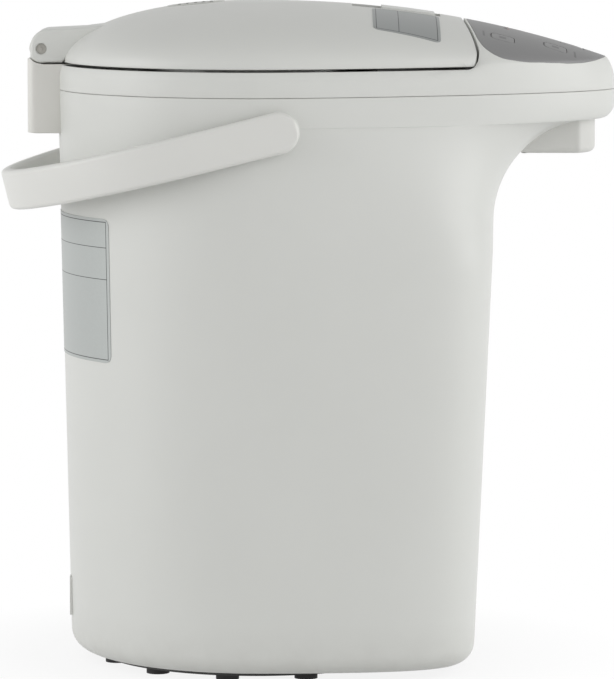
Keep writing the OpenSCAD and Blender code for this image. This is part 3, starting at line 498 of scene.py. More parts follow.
def near(value, target, width):
    """1 where the value is at the target, falling to 0 at a width from it."""
    return (1 - abs(value - target) / width).at_least(0.0)


def shell_finish(name, colour, rough=0.42):
    made, shader, place = start(name)
    z = split(place)[2]
    cloud = noise(place, 14.0, 4.0)
    blotch_noise = noise(place, 90.0, 4.0, 0.6)
    unshaded_tone = blend_colours(cloud, shaded(colour, 0.965), shaded(colour, 1.03))
    # Painted shade: a dark line a hair's breadth wide at the seam, and darkening over the last 3 cm above the
    # table
    seam_shade = near(z, seam_z * MM, 0.0006)
    foot = (0.03 - z).at_least(0.0) * 9.0
    painted_shade = (seam_shade * 0.3 + foot) * blotch_noise
    # the painted shade blends the colour towards this dark brownish grey, broken up by noise
    tone = blend_colours(painted_shade.at_most(1.0), unshaded_tone, srgb(120, 114, 104))
    coat(shader, tone, rough - 0.05 + blotch_noise * 0.1, place, 1700.0, 0.006)
    return made


shell_plastic = shell_finish("shell plastic", shell_colour)
inner_plastic = finish("inner plastic", srgb(196, 197, 192), 0.5, 0.02)
handle_plastic = shell_finish("handle plastic", srgb(221, 221, 217), 0.4)
nozzle_plastic = finish("nozzle plastic", srgb(210, 210, 206), 0.42, 0.02)
# The hinge block's plastic is painted lighter than the shell's, as painted light that makes up for the shade
# falling on the block
lightened_hinge_plastic = finish("hinge plastic", srgb(223, 222, 217), 0.42, 0.02)
dark_plastic = finish("dark plastic", srgb(48, 48, 47), 0.5, 0.08)
print("plastics made")

# %% [markdown]
# ## Printed marks
# The panel and its keys carry print. Plain bars stand in for it: each is a formula of x and y that is 1
# inside its half sizes and falls to 0 over a fraction of a millimetre, and the ink's colour is laid over
# the finish by that amount. The power socket's rim takes the shell's colour in the same way.

# %% Panel, keys and socket
blur = 0.4                                   # width in mm over which the edge of a mark fades


def printed(made, ink, strength, marks):
    """Adds bars of ink to a finish; a mark is its middle and half sizes in x and y, in mm."""
    tree = made.node_tree
    socket = tree.nodes["Principled BSDF"].inputs["Base Color"]
    place = Shade(tree, next(n for n in tree.nodes if n.type == "TEX_COORD").outputs["Object"])
    x, y = split(place)[:2]
    total = 0.0
    for mx, my, hx, hy in marks:
        across = ((hx + blur / 2) * MM - abs(abs(x) - mx * MM)) / (blur * MM)
        along = ((hy + blur / 2) * MM - abs(y - my * MM)) / (blur * MM)
        total = total + across.at_most(along).at_least(0.0).at_most(1.0)
    tone = blend_colours(total.at_most(1.0) * strength, Shade(tree, socket.links[0].from_socket), ink)
    tree.links.new(tone.socket, socket)
    return made


film = (0.42, 0.02, (2600, 0.01))            # roughness, clouds and grain of the film
panel_film = printed(finish("panel film", srgb(134, 134, 134), *film), srgb(78, 78, 78), 0.55,
                     [(39.0, -111.6, 4.4, 0.5), (28.0, -157.2, 4.0, 0.5), (0.0, -166.0, 5.0, 0.5)])
key_film = printed(finish("key film", srgb(138, 138, 138), *film), srgb(86, 86, 86), 0.55,
                   [(39.0, -121.0, 1.7, 1.7), (28.0, -147.5, 1.7, 1.7), (0.0, -157.0, 4.0, 1.2)])
socket_plastic = printed(finish("socket plastic", srgb(48, 48, 47), 0.5, 0.08), shell_colour, 1.0,
                         [(0.0, 95.6, 30.0, 2.6)])
print("marks printed")

# %% [markdown]
# ## Rubber, metal, wool and boards
# The other finishes differ in what carries them: rubber is dark and dull, wrought steel has fine drawn
# lines, wool and mica are soft and flaky, and a circuit board is a green lacquer over copper. Only the
# formula for the drawn lines is special: noise stretched along the way the steel was brushed.

# %% Remaining finishes
def drawn_steel(name, colour, rough, stretch):
    """Bright steel with fine lines: noise that is squeezed along z, so that its grains run across."""
    made, shader, place = start(name)
    lines = place.node("ShaderNodeVectorMath", operation="MULTIPLY")
    lines.socket.node.inputs[1].default_value = (1.0, 1.0, stretch)
    streak = noise(lines, 60.0, 5.0, 0.6)
    tone = blend_colours(streak, shaded(colour, 0.9), shaded(colour, 1.06))
    shader.inputs["Metallic"].default_value = 1.0
    coat(shader, tone, rough - 0.07 + streak * 0.14, lines, 60.0, 0.01)
    return made


rubber = finish("foot rubber", srgb(26, 26, 26), 0.7, 0.12, (900, 0.04))
seal_rubber = finish("seal rubber", srgb(222, 222, 217), 0.55, 0.03, (900, 0.02))
bright_steel = drawn_steel("bright steel", srgb(198, 198, 196), 0.28, 40.0)
pot_steel = drawn_steel("pot steel", srgb(186, 188, 190), 0.24, 60.0)
pin_steel = finish("pin steel", srgb(168, 166, 160), 0.5, 0.1, (1800, 0.05), metal=0.9, wear=0.1)
brass = finish("plated pins", srgb(196, 172, 108), 0.3, 0.05, (1200, 0.01), metal=1.0)
wool = finish("glass wool", srgb(214, 206, 176), 0.95, 0.1, (600, 0.5))
mica = finish("mica band", srgb(176, 160, 128), 0.6, 0.1, (500, 0.1))
board_green = finish("board lacquer", srgb(46, 92, 60), 0.35, 0.08, (1500, 0.02))
core_black = finish("core black", srgb(44, 42, 40), 0.7, 0.1, (800, 0.05))
milky = finish("milky tube", srgb(226, 226, 218), 0.35, 0.02)
wire_cover = finish("wire cover", srgb(208, 208, 204), 0.5, 0.03)
lamp_dome = finish("lamp dome", srgb(176, 92, 70), 0.25, 0.03, (1500, 0.003))
print("materials:", len(bpy.data.materials))

# %% [markdown]
# ## The case
# The real case is one deep moulding: a round back, nearly flat sides and a front that curls forward into
# the beak. It is lofted level by level from the foot's rounding to the nose, outer skin first and then
# the inner skin back down, so it has a true wall at the seam, the foot and every opening.

# %% Case levels
def case_rings(w):
    """Levels of the case for its skin moved inwards by w, from the foot to the seam."""
    run, out = neck_front + arch_run, nose_reach - neck_front - arch_run
    levels = []
    for t in np.radians(np.linspace(0, 90, 10)):
        z = case_z + edge_r - (edge_r - w) * math.cos(t)
        inset = edge_r - (edge_r - w) * math.sin(t)
        levels.append((z, front(z) - inset, side(z) - inset, 0.0))
    for z in np.linspace(case_z + edge_r + 8, neck_z - 4, 22):
        levels.append((z, front(z) - w, side(z) - w, beakness(z, front(z))))
    for t in np.radians(np.linspace(0, 90, 34)):
        z = neck_z + (arch_rise + w) * math.sin(t)
        share = beakness(neck_z + arch_rise * math.sin(t), run - arch_run * math.cos(t))
        levels.append((z, run - (arch_run + w) * math.cos(t), side(z) - w, share))
    for t in np.radians(np.linspace(9, 90, 10)):
        z = neck_z + arch_rise + nose_round - (nose_round - w) * math.cos(t)
        share = beakness(neck_z + arch_rise + nose_round * (1 - math.cos(t)), run + out * math.sin(t))
        levels.append((z, run + (out - w) * math.sin(t), side(z) - w, share))
    for drop, inset in ((0.3, 0.0), (0.16, 0.03), (0.05, 0.12), (0.0, 0.28)):
        z = seam_z - drop
        levels.append((z, nose_reach - w - inset, side(z) - w - inset, 1.0))
    return [at_z(plan(half, reach, share), z) for z, reach, half, share in levels]


case_shell = loft("case_shell", case_rings(0) + case_rings(wall)[::-1], closed=True)
print("case:", len(case_shell.data.polygons), "faces")

# %% [markdown]
# ## Openings in the case
# Three openings are cut once the loft is closed: the slot of the water level window, the mouth of the
# power socket and the hole for the spout. A boolean against a block with rounded corners leaves the
# radii that the moulding tool has.

# %% Cut the case
window_w, window_low, window_high = 9.0, 72.0, 212.0
socket_w, socket_h, socket_mid = 34.0, 20.0, 32.0


def through_y(name, outline, y_from, y_to):
    """An outline of x and z drawn out along y."""
    piece = block(name, outline, y_from, y_to)
    return place(piece, Matrix(((-1, 0, 0, 0), (0, 0, 1, 0), (0, 1, 0, 0), (0, 0, 0, 1))))


slot = through_y("window slot", rounded_outline(window_w, window_high - window_low, 2.0), -130, -100)
shift(slot, z=(window_low + window_high) / 2)
mouth = through_y("socket mouth", rounded_outline(socket_w, socket_h, 2.5), 60, 110)
shift(mouth, z=socket_mid)
spout_hole = shift(rod("spout hole", spout_hole_r, 222, 283), y=-spout_y)
cut(case_shell, [slot, mouth, spout_hole])
smooth(case_shell, 32)
case_shell.data.materials.clear()
case_shell.data.materials.append(shell_plastic)
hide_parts("outer_case")
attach(case_shell, "housing")
print("case cut:", len(case_shell.data.polygons), "faces")

# %% [markdown]
# ## The handle's seats
# The handle turns on two short bosses that stand out of the case. Each is a turned part with a soft
# foot, laid on its side, which reads better than a plain stub.

# %% Handle seats
def dress(piece, angle, material, body, stands_for=()):
    """Shades a piece, gives it its finish and body, and hides the solids that it stands for."""
    smooth(piece, angle)
    piece.data.materials.clear()
    piece.data.materials.append(material)
    if stands_for:
        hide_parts(*stands_for)
    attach(piece, body)
    print(piece.name + ":", len(piece.data.polygons), "faces")


to_side = {s: Matrix(((0, 0, s, 0), (0, 1, 0, 0), (-s, 0, 0, 0), (0, 0, 0, 1))) for s in (-1, 1)}
for s, label in ((-1, "near"), (1, "far")):
    seat = turned("handle_seat_" + label, [(0.001, 96), (10.4, 96), (10.4, 98.6), (9.6, 99.3), (8.8, 99.8),
                                           (8.5, 100.4), (8.2, 100.7), (0.001, 100.7)])
    place(seat, to_side[s])
    shift(seat, y=-pivot_y, z=pivot_z)
    dress(seat, 35, shell_plastic, "housing")

# %% [markdown]
# ## The top cover
# A second moulding closes the case. At the back it is only a rim under the lid; in front its skin rises
# over the beak and carries the control panel. Both are one loft here: each ring is blended between a
# rim profile and the beak's dome by how far forward the point lies, with the turn at the lid's corner.

# %% Cover rings
off_front = np.abs(degrees - 180)
share = 1 - ease(off_front, 40.0, 48.0)                 # 1 on the beak, 0 beside the lid
reach_line = ledge_line - cover_line
reach_len = np.linalg.norm(reach_line, axis=1)


def inward_from_edge(far):
    """Points on the cover at a distance from its edge, on the way to the ledge round the lid."""
    return cover_line + reach_line / reach_len[:, None] * np.broadcast_to(far, around)[:, None]


def cover_ring(f_back, z_back, out_front, z_front):
    """One ring of the cover: how far in from the edge and how high, at the back and on the beak."""
    far = mix(f_back * reach_len, out_front, share)
    return at_z(inward_from_edge(far), mix(z_back, z_front, share))


def beak_height(out):
    return cover_dome(inward_from_edge(out))


cover_low = seam_z + 0.15
rings = [at_z(plan(seam_r - w, nose_reach - w, 1), cover_low + up)
         for w, up in ((wall, 6.0), (wall, 0.0), (0.28, 0.0), (0.12, 0.05), (0.03, 0.16), (0.0, 0.3))]
rings.append(at_z(cover_line, round_z))
soft = mix(5.0, 1.2, ease(off_front, 6.0, 32.0))        # width of the edge's rounding, widest at the nose
soft_top = beak_height(soft)
edge_out = [0.03, 0.13, 0.27, 0.44, 0.63, 0.82, 1.0]    # how far in, as a share of the rounding
edge_fall = [0.9, 0.69, 0.47, 0.31, 0.165, 0.06, 0.0]   # and how far down there
back_f = [0.0, 0.02, 0.06, 0.16, 0.27, 0.38, 0.5]
back_z = [291.5, 293.6, 295.0, 296.2, 297.1, 297.9, 298.5]
for f_back, z_back, out, fall in zip(back_f, back_z, edge_out, edge_fall):
    rings.append(cover_ring(f_back, z_back, soft * out, soft_top - (soft_top - round_z) * fall))
rim_f = [0.5, 0.56, 0.62, 0.68, 0.74, 0.8, 0.86, 0.9, 0.94, 0.97, 0.985]
rim_h = [298.5, 298.75, 298.9, 298.97, 299.0, 299.0, 298.99, 298.96, 298.9, 298.75, 298.55]
across = np.linspace(0, 1, len(rim_f))
for u in np.linspace(0, 1, 31)[1:-1]:
    out = soft + (reach_len - soft) * u ** 1.5
    rings.append(cover_ring(np.interp(u, across, rim_f), np.interp(u, across, rim_h), out, beak_height(out)))
brink = reach_len - 0.12
rings.append(cover_ring(0.99, 298.5, brink, beak_height(brink) - 0.05))
rings.append(cover_ring(1.0, 298.2, reach_len, beak_height(reach_len) - 0.3))
for scale, up in ((1.0, 0.6), (0.996, 0.15), (0.99, 0.0)):
    rings.append(at_z(ledge_line * scale, floor_z + up))
circle = np.stack([np.sin(turn), np.cos(turn)], 1)
for wider, z in ((6, floor_z), (1, floor_z), (0.3, floor_z - 0.3), (0, floor_z - 1), (0, 281.0),
                 (0, pot_top + 3.4), (0.5, pot_top + 3), (18, pot_top + 3)):
    rings.append(at_z(circle * (mouth_r + wider), z))
cover = loft("top_cover_shell", rings)
print("cover:", len(cover.data.polygons), "faces")

# %% [markdown]
# ## The panel's outline
# The panel's edge keeps a steady margin to the beak's edge, turns a round corner beside the lid and runs
# back along the lid's front edge. It is drawn as a chain of points, smoothed, and set out evenly. A sheet
# over it is then a set of rings that shrink towards its middle, each laid on the beak, and where the
# margin is thin the sheet follows the beak's rounded edge as well.

# %% Panel outline and recess
def evenly(points, count):
    """The same closed line with its points set out at equal distances."""
    closed = np.vstack([points, points[:1]])
    run = np.concatenate([[0], np.cumsum(np.linalg.norm(np.diff(closed, axis=0), axis=1))])
    at = np.linspace(0, run[-1], count, endpoint=False)
    return np.stack([np.interp(at, run, closed[:, k]) for k in range(2)], 1)


def relaxed(points, rounds):
    """Corner cutting: every point becomes two, a quarter along each side."""
    for _ in range(rounds):
        ahead = np.roll(points, -1, 0)
        points = np.stack([points * 0.75 + ahead * 0.25, points * 0.25 + ahead * 0.75], 1).reshape(-1, 2)
    return points


def panel_line():
    side_points = []
    for k in range(around // 2, 0, -2):
        off = degrees[k] - 180
        if off < -36.5:
            break
        margin = np.interp(-off, [0, 5, 10, 15, 20, 25, 30, 36], [5.2, 4.7, 3.95, 2.85, 1.9, 1.3, 1.1, 1.3])
        side_points.append(cover_line[k] + reach_line[k] / reach_len[k] * margin)
    side_points += [(58.0, -123.4), (59.5, -119.2), (59.6, -114.8), (57.6, -111.2), (54.8, -109.6)]
    front_y = lid_front + 2.2                    # the border of the beak shows between lid and panel
    for x in range(50, 0, -4):
        side_points.append((x, -(front_y + lid_hollow * (x / (corner_x - corner_r)) ** 2)))
    half = np.array(side_points)
    whole = np.vstack([half, [(0, -front_y)], (half * (-1, 1))[:0:-1]])
    return evenly(relaxed(whole, 2), 320)


def beak_top(p):
    """Height of the cover's outer face at points on the beak, its rounded edge included."""
    p = np.asarray(p, float)
    front = np.flatnonzero(off_front < 60)
    way = (reach_line / reach_len[:, None])[front]
    rel = p[..., None, :] - cover_line[front]
    along = (rel * way).sum(-1)
    aside = rel[..., 0] * way[:, 1] - rel[..., 1] * way[:, 0]
    k = np.argmin(np.abs(aside), -1)

    def at(values, n):
        return np.take_along_axis(values, n[..., None], -1)[..., 0]

    before, after = np.maximum(k - 1, 0), np.minimum(k + 1, len(front) - 1)
    n = np.where(at(aside, before) * at(aside, k) < 0, before, after)
    gap = at(aside, k) - at(aside, n)
    t = np.clip(at(aside, k) / np.where(np.abs(gap) < 1e-9, 1, gap), 0, 1)
    deep = mix(at(along, k) / soft[front][k], at(along, n) / soft[front][n], t)
    top = mix(soft_top[front][k], soft_top[front][n], t)
    rounded = top - (top - round_z) * np.interp(deep, [0] + edge_out, [1] + edge_fall)
    return np.where(deep < 1, rounded, cover_dome(p))


recess_low, sheet_low = -1.4, -1.35          # floor of the panel's recess, and the panel's underside
panel_outline = panel_line()
panel_middle = np.array((0.0, -132.0))
shrink = np.concatenate([[0.985, 0.97, 0.95], np.linspace(0.92, 0.05, 15)])


def dome_sheet(name, outline, low, high, edge=0.0):
    """A solid between two depths under the beak's face, over an outline, with its upper edge rounded."""
    inward = offset_inward(outline)
    spread = [outline + inward * w for w in (0.0, 0.15, 0.5)]
    inner = [panel_middle + (spread[-1] - panel_middle) * f for f in shrink]
    rings = [at_z(p, beak_top(p) + low) for p in inner[::-1] + spread[::-1]]
    rings += [at_z(spread[0], beak_top(spread[0]) + high - edge),
              at_z(spread[1], beak_top(spread[1]) + high - edge * 0.25)]
    rings += [at_z(p, beak_top(p) + high) for p in [spread[2]] + inner]
    return loft(name, rings, caps=True)


cut(cover, [dome_sheet("recess", panel_outline, recess_low, 4.0)])
print("panel outline:", len(panel_outline), "points")

# %% [markdown]
# ## Buttons, lamps and the holes for them
# Five buttons and four lamps come up through the beak. Each stands square to the dome, so a frame is
# needed at each place: the dome's slope gives it. The holes' cutters are placed by that frame, in the
# cover here and in the panel below.

# %% Places on the beak
keys = {"dispense": ((0.0, -157.0), (24.0, 12.0)), "lock": ((-39.0, -121.0), (9.6, 11.6)),
        "timer": ((-28.0, -147.5), (9.6, 11.6)), "reboil": ((39.0, -121.0), (9.6, 11.6)),
        "warmth": ((28.0, -147.5), (9.6, 11.6))}
lamps = [(-12 + 8 * k, -124.0) for k in range(4)]
key_gap, key_r, lamp_r = 0.35, 2.5, 1.5      # gap round a key, radius of its corners and of a lamp
latch_w, latch_d, latch_y = 25.2, 20.0, -101.0
latch_low, latch_high = 303.9, 310.1


def height_at(x, y):
    return float(cover_dome(np.array([x, y])))


def on_beak(x, y):
    """A frame that stands square to the beak's dome, in metres."""
    e = 0.5
    gx = (height_at(x + e, y) - height_at(x - e, y)) / (2 * e)
    gy = (height_at(x, y + e) - height_at(x, y - e)) / (2 * e)
    up = Vector((-gx, -gy, 1)).normalized()
    here = Matrix.Translation(Vector((x, y, height_at(x, y))) * MM)
    return here @ Vector((0, 0, 1)).rotation_difference(up).to_matrix().to_4x4()


def key_holes():
    tools = []
    for (x, y), (w, d) in keys.values():
        outline = rounded_outline(w + 2 * key_gap, d + 2 * key_gap, key_r + key_gap)
        tools.append(place(block("key hole", outline, -12.0, 6.0), on_beak(x, y)))
    return tools


def latch_slot():
    """Room for the lid's bolt, which reaches from the lid into the beak."""
    outline = rounded_outline(latch_w, latch_d, 0.8)
    return shift(block("latch slot", outline, latch_low, latch_high), y=latch_y)


cut(cover, key_holes())
cut(cover, [latch_slot()])
dress(cover, 30, shell_plastic, "housing", ["top_cover"])

# %% [markdown]
# ## The control panel
# The panel is a thin grey sheet let into the beak, flush with it, round edge included. It has the
# recess's outline, a hair smaller all round, and its own edge is rounded so that the parting line shows.

# %% Control panel
panel_gap = 0.2
panel_edge = panel_outline + offset_inward(panel_outline) * panel_gap
panel = dome_sheet("panel_sheet", panel_edge, sheet_low, 0.0, 0.2)
cut(panel, key_holes())
cut(panel, [place(rod("lamp hole", lamp_r, -4, 4, 24), on_beak(x, y)) for x, y in lamps])
dress(panel, 30, panel_film, "housing", ["control_panel"])

# %% [markdown]
# ## The buttons
# The real keys are flush caps under the film: only a thin dark line round each shows. Each cap is built
# in its key's own frame, and its top is then laid on the dome, so that no corner stands proud. A stem
# below it reaches for the switch.

# %% Keys
def key_cap(name, x, y, w, d):
    frame_here = on_beak(x, y)
    outline = rounded_outline(w, d, key_r, 8)

    def placed(points, z):
        return np.array([list(frame_here @ (Vector((px, py, z)) * MM)) for px, py in points]) / MM

    rings = [placed(outline, -6.0), placed(outline, -2.5)]
    insets = (0.0, 0.012, 0.035, 0.08, 0.25, 0.5, 0.75, 0.95)
    for inset, drop in zip(insets, (0.3, 0.12, 0.03) + (0.0,) * 5):
        ring = placed(outline * (1 - inset), 0.0)
        ring[:, 2] = cover_dome(ring[:, :2]) + 0.04 - drop
        rings.append(ring)
    return loft(name, rings, caps=True)


for label, ((x, y), (w, d)) in keys.items():
    cap = key_cap(label + "_key_cap", x, y, w, d)
    cut(cap, [place(rod("stem", 2, -10, -5.5, 24), on_beak(x, y))], "UNION")
    dress(cap, 30, key_film, label + "_key", [label + "_button"])

# %% [markdown]
# ## The lid
# The lid's dome runs on from the beak's. Its rings shrink towards the middle by the sine of an angle,
# which sets them close together at the edge, where the curve is steep, and far apart on the crown.

# %% Lid dome
def lid_rings():
    line = lid_line
    inward = offset_inward(line)
    rings = []
    for s in (0.06, 0.3, 0.55, 0.75, 0.88, 0.94, 0.962):
        p = line * s
        rings.append(at_z(p, lid_dome(p) - wall))
    rings += [at_z(line * 0.964, lid_z + 0.2), at_z(line * 0.968, lid_z), at_z(line + inward * 0.5, lid_z),
              at_z(line + inward * 0.15, lid_z + 0.15), at_z(line, lid_z + 0.5)]
    high = lid_dome(line)
    low = np.minimum(lid_z + 0.8, high)
    rings.append(at_z(line, low))
    for k in (0.33, 0.66, 1.0):
        rings.append(at_z(line, np.maximum(mix(low, high - 0.7, k), low + 0.02 * k)))
    rings.append(at_z(line + inward * 0.03, np.maximum(high - 0.3, low + 0.05)))
    rings.append(at_z(line + inward * 0.12, lid_dome(line + inward * 0.12) - 0.06))
    for t in np.radians(np.concatenate([np.linspace(86.5, 60, 14), np.linspace(57, 3, 26)])):
        p = line * math.sin(t)
        rings.append(at_z(p, lid_dome(p)))
    return rings


lid_shell = loft("lid_shell", lid_rings(), caps=True)
print("lid:", len(lid_shell.data.polygons), "faces")

# %% [markdown]
# ## The ears of the lid
# Behind the dome a hood runs back over the hinge and ends in two ears that hold the pin. Its side view
# is drawn once, drawn out to the hinge's width with soft edges, hollowed where the fixed knuckle turns,
# and joined to the dome so that the two are one moulding.

# %% Ears and lid openings
def arc(cx, cy, r, a_from, a_to, steps):
    return [(cx + r * math.cos(math.radians(t)), cy + r * math.sin(math.radians(t)))
            for t in np.linspace(a_from, a_to, steps)]


ear_back, ear_top, ear_r = pin_y + 5.5, 316.5, 8.5
hood = [(70, 306), (94, 303.4), (97, lid_z), (pin_y - 2.5, lid_z)]
hood += arc(pin_y, pin_z, 7.0, -100, -38, 8)
hood += [(ear_back, 305.0)] + arc(ear_back - ear_r, ear_top - ear_r, ear_r, 0, 90, 14)
hood += [(86, 317.4), (70, 319.5)]
ears = along_x("ears", hood, -hinge_half, hinge_half, 1.6, 5)
outward(ears)


def bar(name, r, x_from, x_to, segments=64):
    """A round bar along x, on the hinge's axis."""
    return shift(place(rod(name, r, x_from, x_to, segments), to_side[1]), y=pin_y, z=pin_z)


cut(lid_shell, [ears], "UNION")
room_r, room_half = knuckle_r + 0.7, knuckle_half + 0.3
hole_r, hole_start = 2.95, hinge_half - 1.2  # the pin's ends show in shallow holes in the ears
notch = along_x("notch", [(pin_y - knuckle_r - 0.7, 296), (pin_y + 12, 296), (pin_y + 12, pin_z),
                          (pin_y - knuckle_r - 0.7, pin_z)], -room_half, room_half)
cut(lid_shell, [bar("pin hole", hole_r, -30, -hole_start, 48), bar("pin hole", hole_r, hole_start, 30, 48),
                bar("knuckle room", room_r, -room_half, room_half), notch])
vent_y, vent_r, pocket_w, pocket_d, pocket_front = 31.0, 14.6, 34.0, 44.0, 91.0
vent_hole = shift(rod("vent hole", vent_r + 0.25, 305, 345), y=vent_y)
pocket = block("pocket", rounded_outline(pocket_w, pocket_d, 0.5), 309, 345)
shift(pocket, y=pocket_d / 2 - pocket_front)
cut(lid_shell, [vent_hole, pocket, latch_slot()])
dress(lid_shell, 34, shell_plastic, "lid", ["lid_outer"])

# %% [markdown]
# ## The steam vent
# Steam leaves through a small grille at the back of the lid. Its cap follows the crown and has five
# equal slots across. The slots are one cutter that Geometry Nodes sets out in a row.

# %% Steam vent cap
def row_of(cutter, count, step):
    """Copies of a mesh in a row along y, made by Geometry Nodes and turned into plain mesh."""
    tree = bpy.data.node_groups.new("row of copies", "GeometryNodeTree")
    for label, way, kind in (("Geometry", "INPUT", "Geometry"), ("Count", "INPUT", "Int"),
                             ("Step", "INPUT", "Float"), ("Geometry", "OUTPUT", "Geometry")):
        tree.interface.new_socket(label, in_out=way, socket_type="NodeSocket" + kind)
    given, made, line, copies, real, offset, begin, half = [tree.nodes.new(kind) for kind in (
        "NodeGroupInput", "NodeGroupOutput", "GeometryNodeMeshLine", "GeometryNodeInstanceOnPoints",
        "GeometryNodeRealizeInstances", "ShaderNodeCombineXYZ", "ShaderNodeVectorMath", "ShaderNodeMath")]
    begin.operation = "SCALE"
    half.operation = "MULTIPLY_ADD"
    half.inputs[1].default_value, half.inputs[2].default_value = -0.5, 0.5
    for source, target in ((given.outputs["Step"], offset.inputs["Y"]),
                           (given.outputs["Count"], line.inputs["Count"]),
                           (offset.outputs[0], line.inputs["Offset"]),
                           (given.outputs["Count"], half.inputs[0]),
                           (offset.outputs[0], begin.inputs[0]),
                           (half.outputs[0], begin.inputs["Scale"]),
                           (begin.outputs[0], line.inputs["Start Location"]),
                           (line.outputs["Mesh"], copies.inputs["Points"]),
                           (given.outputs["Geometry"], copies.inputs["Instance"]),
                           (copies.outputs[0], real.inputs[0]),
                           (real.outputs[0], made.inputs[0])):
        tree.links.new(source, target)
    row = cutter.modifiers.new("row", "NODES")
    row.node_group = tree
    inputs = {s.name: s.identifier for s in tree.interface.items_tree if s.in_out == "INPUT"}
    row[inputs["Count"]], row[inputs["Step"]] = count, step * MM
    return settle(cutter)


def lid_top(x, y):
    return float(lid_dome(np.array([x, y])))


def dome_disc(name, r, cy, low, proud, edge):
    """A hollow cap whose top follows the lid's crown and stands a little proud of it."""
    def ring(radius, drop=None):
        """One ring, below the cap's top by a drop, or else level with its foot."""
        turns = np.linspace(0, 2 * math.pi, 96, endpoint=False)
        spots = [(radius * math.cos(a), cy + radius * math.sin(a)) for a in turns]
        return [(x, y, low if drop is None else lid_top(x, y) + proud - drop) for x, y in spots]

    thick, skirt = 2.2, r - 1.8
    rings = [ring(0.02, thick), ring(skirt, thick), ring(skirt), ring(r), ring(r, edge)]
    for t in np.radians((30, 60, 90)):
        rings.append(ring(r - edge * (1 - math.cos(t)), edge * (1 - math.sin(t))))
    rings += [ring(q * r, 0.0) for q in (0.85, 0.65, 0.45, 0.25, 0.02)]
    return loft(name, rings, caps=True)


vent_high, slot_w, slot_d, slot_count, slot_step = 7.6, 17.0, 1.7, 5, 4.0
vent = dome_disc("steam_vent_grille", vent_r - 0.1, vent_y, lid_top(0, vent_y) - vent_high, 0.3, 0.5)
slots = row_of(block("vent slot", rounded_outline(slot_w, slot_d, 0.8), 322, 340), slot_count, slot_step)
cut(vent, [shift(slots, y=vent_y)])
dress(vent, 30, inner_plastic, "lid", ["steam_vent_cap"])

# %% [markdown]
# ## The hinge
# A block moulded to the case carries the knuckle and the pin. Its back edges are well rounded, its
# foot is cut off at a slant, and the pin shows in both ears as a dull end with a small raised middle.

# %% Hinge block, knuckle and pin
half_deep = 30.0                             # reaches into the case before the block is cut to it
block_outline = rounded_outline(2 * hinge_half, 2 * half_deep, 4.2, 8)
block_outline[:, 1] = block_outline[:, 1] + block_back - half_deep
base_block = block("hinge_mount", block_outline, block_z, rim_z + 3.2, 0.7, 4)


def trench(name, side_view):
    """A side view of y and z as a cutter that is wider than the hinge."""
    return along_x(name, side_view, -30, 30)


room = trench("seat room", [(60, rim_z + 0.3), (pin_y, rim_z + 0.3), (pin_y, 320), (60, 320)])
slant = trench("slant", [(60, block_z - 12), (130, block_z - 12), (130, block_z + 1.6), (60, block_z - 4)])
inside = turned("case inside", [(0.001, 250), (side(250) - 0.5, 250), (seam_r - 0.5, seam_z),
                                (seam_r - 0.5, rim_z - 5), (seam_r - 1.4, rim_z + 0.02),
                                (0.001, rim_z + 0.02)], 128)
cut(base_block, [bar("seat", knuckle_r + 1.0, -30, 30), room, slant, inside])
knuckle = bar("knuckle", knuckle_r, -knuckle_half, knuckle_half, 96)
foot_start = pin_y - knuckle_r + 0.4
foot = along_x("knuckle foot", [(foot_start, rim_z - 3), (pin_y + 3.4, rim_z - 3), (pin_y + 5.4, rim_z + 2),
                                (pin_y + 4.2, pin_z - 3), (foot_start, pin_z)], -knuckle_half, knuckle_half)
cut(base_block, [knuckle, foot], "UNION")
settle(soften(base_block, 0.35, 50))
dress(base_block, 40, lightened_hinge_plastic, "housing", ["hinge_bracket"])

pin_end = [(pin_r, 17.0), (2.85, 17.2), (2.85, 17.4), (2.5, 17.9), (1.5, 18.1), (0.8, 18.12), (0.5, 18.3),
           (0.001, 18.3)]
pin_profile = [(r, -x) for r, x in pin_end[::-1]] + pin_end
pin = shift(place(turned("hinge_pin_rod", pin_profile, 48), to_side[1]), y=pin_y, z=pin_z)
dress(pin, 30, pin_steel, "housing", ["hinge_pin"])

# %% [markdown]
# ## The handle
# The handle is a flat band bent round the back of the pot. It is swept: one rounded section is carried
# along one side, round the back and along the other, and both ends close in a half round at the pivots.

# %% Handle band
band_round = 2.2                             # rounding of the band's edges


def band_section(thick, high):
    r = max(min(band_round, thick / 2 - 0.01, high / 2 - 0.01), 0.02)
    return rounded_outline(max(thick, 0.06), max(high, 0.06), r, 5)


def handle_rings():
    mid, end_r, rim = handle_half - band_t / 2, band_w / 2 + 0.1, 1.7
    stops = []                                   # (along the path, half height, thickness)
    for a in np.radians(np.linspace(2, 90, 16)):
        d = end_r * math.cos(a)
        rounded = rim - math.sqrt(max(rim * rim - max(rim - (end_r - d), 0) ** 2, 0))
        stops.append((-d, end_r * math.sin(a), band_t - 2 * rounded))
    stops += [(10.0, 20.1 / 2, band_t), (20.0, band_w / 2, band_t), (handle_run, band_w / 2, band_t)]
    arm = [[(mid + u, y, v) for u, v in band_section(thick, 2 * half_high)] for y, half_high, thick in stops]
    bow = [[((mid + u) * math.cos(a), handle_run + (mid + u) * math.sin(a), v)
            for u, v in band_section(band_t, band_w)]
           for a in np.radians(np.linspace(0, 180, 91))[1:-1]]
    other_arm = [[(-x, y, z) for x, y, z in ring] for ring in arm]
    return arm + bow + other_arm[::-1]


band = loft("handle_band", handle_rings(), caps=True)
to_pivot = Matrix.Translation(Vector((0, -pivot_y, pivot_z)) * MM)
place(band, to_pivot @ Matrix.Rotation(math.radians(-handle_drop), 4, "X"))
sockets = [place(rod("stud socket", 5.1, 95, handle_half - 1.2, 48), to_side[s]) for s in (-1, 1)]
cut(band, [shift(s, y=-pivot_y, z=pivot_z) for s in sockets])
dress(band, 34, handle_plastic, "handle", ["handle"])

